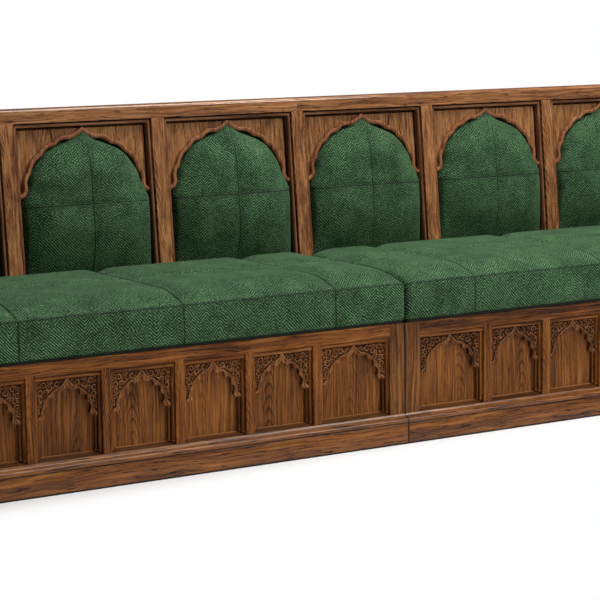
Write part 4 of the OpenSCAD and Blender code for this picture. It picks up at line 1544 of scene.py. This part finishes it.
    def build(self, wood: bpy.types.Material) -> None:
        """Builds the carving of one seat box and puts it on the booth."""
        s = SIZES
        y, w = s.face_y, self.band_w
        shape = Shape()
        leaves: list[tuple[float, float, float, float]] = []
        foot = s.fret_foot
        band = [(0.0, self.ground + 1), (0.0, 13.2), (0.7, 12.5), (3.2, 12.0), (5.2, 12.5), (5.9, 13.6),
                (6.5, 11.0), (7.4, 10.3), (w - 0.4, 10.8), (w, self.ground + 1)]
        drop = np.linspace(0, 1, 5)
        for index in range(s.panels):
            start, width = s.opening(index)
            centre = (start + width / 2) * self.side
            half = width / 2 - s.bead_w
            arch = Arch(self.arch.cusps, self.arch.sags, half, s.fret_rise)
            opening = self.beside_lobes(arch, 0.4, whole=True) + [centre, foot]
            high = foot + s.fret_h
            left, right = centre - half, centre + half
            corners = [[right, foot], [right, high], [left, high], [left, foot]]
            shape.plate(np.vstack([opening, corners]), y + self.ground, y + s.frame_t)
            lines = [self.beside_lobes(arch, offset, whole=True) + [centre, foot] for offset, _ in band]
            shape.sweep(lines, [y + depth for _, depth in band])
            outer = self.beside_lobes(arch, w, whole=False)
            scrolls = self.scrolls(half, outer)
            for flip in (-1, 1):
                for scroll in scrolls:
                    line, radii = self.scroll_line(scroll)
                    shape.tube(line * [flip, 1, 1] + [centre, y, foot], radii, sides=5, flat=1.25)
                foot_x = centre + flip * (arch.cusps[-1][0] * half + 4.5)
                bulb = np.column_stack([0 * drop + foot_x, 0 * drop + y + 13.4, foot + 9 - 9 * drop])
                shape.tube(bulb, np.array([2.0, 3.4, 4.0, 3.2, 0.6]), sides=8)
                for x, z, angle, size in self.leaf_points(half, outer, scrolls):
                    turn = angle if flip > 0 else math.pi - angle
                    leaves.append((centre + flip * x, foot + z, turn, size))
        board = shape.build(f"carved_fret_{self.label}", wood, smooth=38.0, merge=0.004)
        settle(board, "booth", "oak_carved", f"base_arch_frets_{self.label}")
        places = [(x, y + self.ground - 0.6, z) for x, z, _, _ in leaves]
        sprays = new_object(f"carved_leaves_{self.label}", places, [], [])
        mark(sprays.data, "lean", np.array([(0, -a, 0) for _, _, a, _ in leaves]))
        mark(sprays.data, "spread", np.array([(k, k * 1.5, k) for _, _, _, k in leaves]))
        leaf = self.leaf()
        self.leaf_rule.apply(sprays, {"Leaf": leaf, "Size": 1.0, "Material": wood})
        bpy.data.objects.remove(leaf)
        settle(sprays, "booth", "oak_carved")


class HeadBeads(BoxPart):
    """The fillet and half-round bead under the top rail, at the head of each opening of one seat box."""

    def build(self, wood: bpy.types.Material) -> None:
        """Builds the six mouldings as one piece."""
        s = SIZES
        profile = [(20.0, 0.0), (0.3, 0.0), (0.3, 4.6), (1.0, 5.4), (5.8, 5.8), (6.4, 7.2), (5.0, 8.2),
                   (3.4, 10.2), (3.0, 12.2), (3.4, 14.2), (5.0, 16.4), (7.0, 17.6), (12.0, 18.2),
                   (20.0, 18.4)]
        shape = Shape()
        for index in range(s.panels):
            start, width = s.opening(index)
            ends = [np.array([(x * self.side, s.face_y + y, s.rail_z - drop) for y, drop in profile])
                    for x in (start + 0.6, start + width - 0.6)]
            shape.grid(np.stack(ends), closed=True, caps=True)
        settle(shape.build(f"opening_head_beads_{self.label}", wood, smooth=38), "booth", "oak_moulding")


class Colonettes(BoxPart):
    """The turned shafts under the feet of one seat box's carved arches."""

    def build(self, wood: bpy.types.Material) -> None:
        """Builds the twelve shafts as one piece."""
        s = SIZES
        low = s.low_rail_h + s.sill_h
        high = s.fret_foot
        turned = [(4.9, low), (4.9, low + 4), (4.3, low + 5), (4.8, low + 6.5), (4.9, low + 8),
                  (4.2, low + 9.6), (3.7, low + 11), (3.9, low + 20), (3.9, high - 20), (3.6, high - 11),
                  (4.3, high - 10), (4.5, high - 9), (4.1, high - 8), (3.8, high - 7), (4.6, high - 4),
                  (4.9, high - 2), (4.9, high)]
        angles = np.arange(16) * 2 * math.pi / 16
        middle_y = s.face_y + s.fret_set + 7.5
        shape = Shape()
        for index in range(s.panels):
            start, width = s.opening(index)
            for x in (start + s.bead_w + s.colonette_w / 2, start + width - s.bead_w - s.colonette_w / 2):
                rings = np.array([[(x * self.side + r * math.cos(a), middle_y + r * math.sin(a), z)
                                   for a in angles] for r, z in turned])
                shape.grid(rings, closed=True, caps=True)
        piece = shape.build(f"turned_colonettes_{self.label}", wood, smooth=50)
        settle(piece, "booth", "oak_moulding", f"base_colonettes_{self.label}")


def sweep_bays(name: str, lines: list[np.ndarray], depths: list[float], wood: bpy.types.Material,
               node: str) -> None:
    """Sweeps a moulding in each of the six bays and puts it on the booth as one piece.

    Args:
        name: The piece's name.
        lines: Rows of x and height in a bay, one line for each point of the moulding's profile.
        depths: The lines' depths behind the stiles.
        wood: Its finish.
        node: CAD node that it stands for.
    """
    shape = Shape()
    for centre in SIZES.bay_centres:
        shape.sweep([line + [centre, 0] for line in lines], depths)
    settle(shape.on_screen().build(name, wood, smooth=42.0, merge=0.01), "booth", "oak_moulding", node)


@dataclass
class ArchMouldings:
    """The lobed mouldings round the six pads of the back."""

    arch: Arch

    def build(self, wood: bpy.types.Material) -> None:
        """Builds the six mouldings as one piece."""
        s = SIZES
        path, cusps = self.arch.whole(12)
        profile = [(-5.5, s.spandrel_set + 6), (-5.5, 14.4), (-5.1, 13.0), (-4.0, 12.3), (-2.0, 12.2),
                   (-1.5, 11.4), (-0.6, 10.9), (2.6, 10.9), (4.4, 11.5), (5.5, 13.4),
                   (5.5, s.spandrel_set + 1)]
        lines = [beside(path, cusps, offset) + [0, s.arch_foot] for offset, _ in profile]
        depths = [depth for _, depth in profile]
        sweep_bays("lobed_arch_mouldings", lines, depths, wood, "back_arch_mouldings")


@dataclass
class BayBeads:
    """The half-round bead on three sides of each bay, close to the stiles."""

    shift: float = 2.4

    def build(self, wood: bpy.types.Material) -> None:
        """Builds the beads of the six bays as one piece, mitred at the corners."""
        s = SIZES
        x, top = s.bead_in + self.shift, s.bay_top - s.bay_bead_gap - s.bay_bead_w + self.shift
        path = np.array([[x, s.bay_foot], [x, top], [-x, top], [-x, s.bay_foot]])
        across = np.array([[1, 0], [1, 1], [-1, 1], [-1, 0]])
        profile = [(0.0, 24.0), (0.0, 10.0), (0.8, 7.4), (2.6, 5.6), (4.75, 5.0), (6.9, 5.6), (8.7, 7.4),
                   (9.3, 10.0), (9.3, 24.0)]
        lines = [path + across * offset for offset, _ in profile]
        sweep_bays("bay_bead_frames", lines, [depth for _, depth in profile], wood, "back_beads")


class Plinth:
    """The moulded plinth: two front boards and a return at both ends."""

    def profile(self) -> np.ndarray:
        """Draws the plinth's section as rows of projection and height."""
        t, flat, high = SIZES.plinth_t, SIZES.plinth_flat, SIZES.plinth_h
        r = SIZES.plinth_nose / 2
        top = flat + SIZES.plinth_nose
        nose = [(t - r + r * math.cos(a), flat + r + r * math.sin(a))
                for a in np.linspace(-math.pi / 2, math.pi / 2, 17)]
        rows = [(0, 0), (t - 2.0, 0), (t - 1.5, 0.6), (t - 1.5, flat - 2.2), (t - 2.0, flat - 1.2),
                (t - 4.0, flat - 0.2)]
        cove = [(t - r - 1.5, top + 0.4), (6.0, top + 2.2), (3.2, top + 4.8), (2.0, high - 1.6),
                (1.4, high - 0.4), (0.8, high), (0, high)]
        return np.array(rows + nose[1:] + cove)

    def build(self, front_wood: bpy.types.Material, return_wood: bpy.types.Material) -> None:
        """Builds the four boards with mitred corners."""
        s = SIZES
        rows = self.profile()
        ends = Shape()
        for side, label in ((-1, "left"), (1, "right")):
            out, z = rows.T
            joint = np.column_stack([0 * out + 0.35, s.face_y - out, z])
            corner = np.column_stack([s.box_len + out, s.face_y - out, z])
            wall = np.column_stack([s.box_len + out, s.face_y + s.box_depth + 0 * out, z])
            board = Shape()
            board.grid(np.stack([joint, corner]) * [side, 1, 1], closed=True, caps=True)
            piece = board.build(f"moulded_plinth_{label}", front_wood, smooth=38)
            settle(piece, "booth", "oak_plinth", f"plinth_front_{label}")
            ends.grid(np.stack([corner, wall]) * [side, 1, 1], closed=True, caps=True)
        piece = ends.build("moulded_plinth_returns", return_wood, smooth=38)
        settle(piece, "booth", "oak_plinth", "plinth_returns")


class CapRail:
    """The cap over the whole back, with its rounded front edge."""

    def build(self, wood: bpy.types.Material) -> None:
        """Builds the cap as one swept board."""
        s = SIZES
        low = s.top_z - s.cap_h
        r = s.cap_round
        front = s.screen_y(s.top_z - r)
        curve = [(front + r * (1 - math.cos(a)), s.top_z - r + r * math.sin(a))
                 for a in np.linspace(0, math.pi / 2, 11)]
        foot = [(s.box_depth, low), (s.screen_y(low) + 0.8, low), (s.screen_y(low), low + 0.8)]
        wall = [(s.box_depth - 1.2, s.top_z), (s.box_depth, s.top_z - 1.2)]
        rows = np.array(foot + curve + wall)
        rings = [np.column_stack([0 * rows[:, 0] + x, rows[:, 0] + s.face_y, rows[:, 1]])
                 for x in (-s.box_len, s.box_len)]
        shape = Shape()
        shape.grid(np.stack(rings), closed=True, caps=True)
        settle(shape.build("rounded_cap_rail", wood, smooth=38), "booth", "oak_back", "cap_rail")


class Joinery:
    """The CAD nodes that stay as they are, with eased edges and their finishes."""

    def __init__(self, nodes: dict[str, bpy.types.Object], finishes: dict[str, bpy.types.Material]) -> None:
        """Keeps the frame's nodes and the finishes by name."""
        self.nodes = nodes
        self.finishes = finishes

    def choose(self, name: str) -> str:
        """Returns the name of the finish that a node takes."""
        rules = (
            ("base_stiles", "end_stile"), ("base_top_rail", "rail"), ("base_bottom_rail", "rail"),
            ("base_muntins", "muntin"), ("base_panels", "panel"), ("base_beads", "bead"),
            ("base_arch_frets", "carved"), ("base_colonettes", "bead"), ("plinth_returns", "return"),
            ("plinth_front", "plinth"), ("lower_end_panels", "end"), ("upper_end_panels", "end"),
            ("cap_rail", "cap"), ("back_stiles", "back_stile"), ("back_bottom_rail", "cap"),
            ("back_spandrels", "spandrel"), ("back_beads", "back_bead"), ("back_arch", "moulding"),
            ("back_pad", "pad_cloth"), ("seat_cover", "seat_cloth"), ("pad_foams", "foam"),
            ("seat_foam", "foam"), ("pad_screws", "steel"), ("gang_", "steel"),
            ("back_boards", "black_board"), ("seat_board", "black_shade_cloth"),
        )
        return next((finish for start, finish in rules if name.startswith(start)), "plywood")

    def dress(self) -> None:
        """Gives every node its finish, and the visible boards eased edges."""
        eased = {"base_stiles": 0.9, "base_top_rail": 0.9, "base_bottom_rail": 0.9, "base_muntins": 0.9,
                 "base_beads": 1.6, "back_stiles": 0.9, "back_beads": 2.6, "back_bottom_rail": 0.9,
                 "back_spandrels": 0.5, "lower_end_panels": 1.0, "upper_end_panels": 1.0}
        for name, node in self.nodes.items():
            node.data.materials.clear()
            node.data.materials.append(self.finishes[self.choose(name)])
            width = next((w for start, w in eased.items() if name.startswith(start)), 0.0)
            if width:
                weld = node.modifiers.new("weld", "WELD")
                weld.merge_threshold = 0.01 * MM
                bevel = node.modifiers.new("eased_edges", "BEVEL")
                bevel.width = width * MM
                bevel.segments = 3
                bevel.limit_method = "ANGLE"
                bevel.angle_limit = math.radians(40)
                bevel.harden_normals = False
            LOG.info("%s: %s", name, self.choose(name))


@dataclass(frozen=True)
class Portrait:
    """The camera, fitted to the photograph by measured points of the booth.

    Its place is in millimetres, its angles in radians and its focal length and frame in the photo's pixels.
    """

    place: tuple[float, float, float] = (-3233.4, SIZES.face_y - 4743.5, 1250.6)
    yaw: float = 0.5477
    pitch: float = 0.146
    roll: float = -0.0118
    focal: float = 2087.6
    frame: float = 600.0
    sensor: float = 36.0

    def build(self) -> None:
        """Makes the camera and gives it to the scene."""
        look = Vector((math.sin(self.yaw) * math.cos(self.pitch), math.cos(self.yaw) * math.cos(self.pitch),
                       -math.sin(self.pitch)))
        level = look.cross(Vector((0, 0, 1))).normalized()
        up = level.cross(look)
        right = math.cos(self.roll) * level + math.sin(self.roll) * up
        top = math.cos(self.roll) * up - math.sin(self.roll) * level
        data = bpy.data.cameras.new("portrait")
        data.sensor_width = self.sensor
        data.lens = self.focal * self.sensor / self.frame
        data.clip_end = 100.0
        camera = bpy.data.objects.new("portrait", data)
        turn = Matrix((right, top, -look)).transposed()
        camera.matrix_world = Matrix.Translation(Vector(self.place) * MM) @ turn.to_4x4()
        bpy.context.scene.collection.objects.link(camera)
        bpy.context.scene.camera = camera


class Studio:
    """A white studio: pale floor, white surroundings and soft lamps."""

    def lamp(self, name: str, place: tuple[float, float, float], size: tuple[float, float], power: float,
             target: tuple[float, float, float] = (0, 0, 0.45), mirrored: bool = True) -> None:
        """Adds one soft lamp.

        Args:
            name: The lamp's name.
            place: Its place in metres.
            size: Its width and height in metres.
            power: Its power in watts.
            target: The point it faces.
            mirrored: Whether glossy surfaces show it.
        """
        data = bpy.data.lights.new(name, "AREA")
        data.shape = "RECTANGLE"
        data.size, data.size_y = size
        data.energy = power
        lamp = bpy.data.objects.new(name, data)
        lamp.location = place
        lamp.visible_glossy = mirrored
        lamp.rotation_mode = "QUATERNION"
        lamp.rotation_quaternion = (Vector(target) - Vector(place)).to_track_quat("-Z", "Y")
        bpy.context.scene.collection.objects.link(lamp)

    def build(self) -> None:
        """Makes the floor, the surroundings and the lamps."""
        scene = bpy.context.scene
        scene.view_settings.view_transform = "Standard"
        world = bpy.data.worlds.new("white_studio")
        world.use_nodes = True
        tree = world.node_tree
        tree.nodes.clear()
        seen = add_node(tree, "ShaderNodeLightPath").outputs["Is Camera Ray"]
        strength = add_node(tree, "ShaderNodeMapRange", {"Value": seen, "To Min": 0.05, "To Max": 1.0})
        sky = add_node(tree, "ShaderNodeBackground", {"Color": (1, 1, 1, 1), "Strength": strength.outputs[0]})
        add_node(tree, "ShaderNodeOutputWorld", {"Surface": sky.outputs[0]})
        scene.world = world
        reach = 14000
        corners = [(-reach, -reach, 0), (reach, -reach, 0), (reach, reach, 0), (-reach, reach, 0)]
        floor = new_object("studio_floor", corners, [], [(0, 1, 2, 3)])
        g = Graph("white_floor_paint")
        x, y, _ = g.millimetres()
        far = g.span(reckon("MAXIMUM", abs(x) - SIZES.box_len, abs(y) - SIZES.box_depth / 2), 5.0, 190.0)
        share = far * g.out("ShaderNodeLightPath", "Is Camera Ray")
        g.feed(Base_Color=linear("#f4f4f4"), Roughness=0.9, Specular_IOR_Level=0.1)
        glow = add_node(g.tree, "ShaderNodeEmission", {"Color": (1, 1, 1, 1), "Strength": 1.0}).outputs[0]
        mixed = add_node(g.tree, "ShaderNodeMixShader", {0: share, 1: g.shader.outputs[0], 2: glow})
        connect(g.tree, g.output.inputs["Surface"], mixed.outputs[0])
        floor.data.materials.append(g.material)
        self.lamp("key", (3.1, -4.2, 3.6), (1.1, 1.1), 156)
        self.lamp("overhead", (0.9, -0.5, 4.2), (3.4, 1.8), 222, target=(-0.2, 0, 0))
        self.lamp("fill", (-4.5, -4.0, 1.8), (3.0, 2.5), 3)
        self.lamp("rear", (0.0, 4.5, 1.15), (5.0, 1.2), 34, target=(0, 0, 0.4), mirrored=False)


def finishes() -> dict[str, bpy.types.Material]:
    """Builds every finish of the booth, by the name that the pieces use."""
    pale = ("#241209", "#5f381c", "#8f5d36", "#b98656")
    dark = ("#160a03", "#4a270c", "#784519", "#a46b2e")
    panel = ("#251206", "#4a290d", "#744419", "#a0692d")
    carved = ("#1e0e06", "#522c14", "#7f4d25", "#ab7642")
    ends = ("#160b04", "#452710", "#6e431d", "#986430")
    light = ("#26130a", "#613a1d", "#916138", "#b58556")
    bead = ("#1c0f08", "#4c2c18", "#754c30", "#97694a")
    moulding = ("#28120a", "#5e341d", "#8a5636", "#ac7a54")
    upright, along_x = Grain.UPRIGHT, Grain.ALONG_X
    oaks = {
        "end_stile": Oak("oak_end_stiles", upright, ends, 0, 710.5, 1, figure=0.25, figure_span=60,
                         joint=True),
        "rail": Oak("oak_rails", along_x, dark, 0, 1500, 0, figure=0.5, drift=300, right_shade=0.19, pore=3.0,
                    pore_depth=0.45),
        "head_bead": Oak("oak_head_beads", along_x, dark, 0, 1500, 0, figure=0.2, drift=300),
        "muntin": Oak("oak_muntins", upright, dark, 181.1, 211.75, 9, figure=0.5, figure_span=60),
        "panel": Oak("oak_panels", upright, panel, 287.0, 211.75, 4, figure=0.64, figure_span=80, drift=34.0,
                     pore=2.6, pore_depth=0.26),
        "bead": Oak("oak_beads", upright, dark, 287.0, 211.75, 4, figure=0.1, sill=True, low_y=18.5,
                    high_y=11.5),
        "carved": Oak("oak_carved", upright, carved, 287.0, 211.75, 4, figure=0.1, low_y=14.9, high_y=12.6,
                      painted_highlight=0.42, right_shade=0.2),
        "return": Oak("oak_plinth_returns", Grain.ALONG_Y, dark, 0, 3000, 0, figure=0.4, drift=300, coat=0.3,
                      foot=True),
        "plinth": Oak("oak_plinth", along_x, dark, 0, 1500, 0, figure=0.6, drift=240, roughness=0.4, coat=0.4,
                      joint=True, foot=True, pore=4.6, pore_depth=0.85),
        "end": Oak("oak_end_panels", upright, dark, 0, 3000, 0, figure=0.6, figure_span=120),
        "cap": Oak("oak_cap", along_x, pale, 0, 1500, 0, figure=0.4, drift=320, roughness=0.38, coat=0.6,
                   coat_roughness=0.11, pore=3.4, pore_depth=0.5),
        "back_stile": Oak("oak_back_stiles", upright, pale, -233.5, 467, 9, figure=0.6, figure_span=90),
        "spandrel": Oak("oak_spandrels", upright, light, 0, 467, 9, figure=0.8, figure_span=260, drift=60),
        "back_bead": Oak("oak_back_beads", upright, bead, 0, 467, 9, figure=0.1,
                         lies_above=SIZES.top_z - SIZES.cap_h - 13.0),
        "moulding": Oak("oak_arch_mouldings", upright, moulding, 0, 467, 9, figure=0.1),
    }
    black = [(0.3, "#120e0b"), (0.7, "#1c1713")]
    others = {
        # Sanded birch plywood: pale, matt faces with faint grain.
        "plywood": Mottled("birch_plywood_sanded", (9.0, 9.0, 240.0),
                           [(0.25, "#a98757"), (0.5, "#c8a676"), (0.75, "#d9bd92")], 0.72, detail=(3.0, 0.6),
                           relief=(0.15, 0.3)),
        # Cut polyurethane foam: a pale, open surface without any shine.
        "foam": Mottled("polyurethane_foam_cut", (1.5,) * 3, [(0.3, "#c9bd8d"), (0.6, "#e6dcae")], 0.95,
                        relief=(0.4, 0.5)),
        # Black boards behind the pads and a black sheet on the seat boards: painted shade, so that the narrow
        # gaps there show dark.
        "black_board": Mottled("plywood_black_painted_shade", (8.0,) * 3, black, 0.8),
        "black_shade_cloth": Mottled("black_cloth_painted_shade", (8.0,) * 3, black, 0.8),
        # Zinc-plated steel of the hidden fasteners: a faint brushed sheen.
        "steel": Mottled("steel_zinc_plated", (3.0,) * 3, [(0.3, "#8d9399"), (0.7, "#adb3b8")], 0.3,
                         rougher=0.12, metallic=1.0),
        "seat_cloth": Tweed("tweed_seats", 41.0, 8.8, 0.66),
        "pad_cloth": Tweed("tweed_pads", 31.0, 8.4, 0.62),
        "thread": SewingThread(),
    }
    return {key: finish.build() for key, finish in (oaks | others).items()}


def main() -> None:
    """Builds the booth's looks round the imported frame, in order."""
    logging.basicConfig(level=logging.INFO, format="%(message)s")
    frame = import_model()
    dressed = finishes()
    Portrait().build()
    Studio().build()
    Joinery(frame["nodes"], dressed).dress()
    s = SIZES
    back_arch = Arch(((0, 1), (0.205, 0.873), (0.445, 0.774), (0.66, 0.628), (0.85, 0.342), (0.91, 0.115),
                      (1, -0.02)),
                     (-0.015, 0.04, 0.04, 0.042, 0.035, -0.03), s.bead_in, s.arch_rise)
    fret_arch = Arch(((0, 1.035), (0.208, 0.833), (0.46, 0.69), (0.66, 0.455), (0.755, 0.105), (0.88, 0)),
                     (-0.03, 0.075, 0.08, 0.07, -0.02), 104.0, s.fret_rise)
    Plinth().build(dressed["plinth"], dressed["return"])
    CapRail().build(dressed["cap"])
    BayBeads().build(dressed["back_bead"])
    ArchMouldings(back_arch).build(dressed["moulding"])
    leaf_rule = LeafRule()
    stitch_rule = StitchRule()
    for side in (-1, 1):
        CarvedFrets(side, fret_arch, leaf_rule).build(dressed["carved"])
        HeadBeads(side).build(dressed["head_bead"])
        Colonettes(side).build(dressed["bead"])
        seams = Seams(stitch_rule, dressed["thread"])
        cushion = SeatCushion(side)
        cushion.build(dressed["seat_cloth"], seams)
        settle(seams.sew(f"seat_stitching_{cushion.label}"), f"seat_{cushion.label}", "green_fabric")
    seams = Seams(stitch_rule, dressed["thread"])
    BackPads(back_arch).build(dressed["pad_cloth"], seams)
    settle(seams.sew("pad_stitching"), "booth", "green_fabric")


if __name__ == "__main__":
    main()
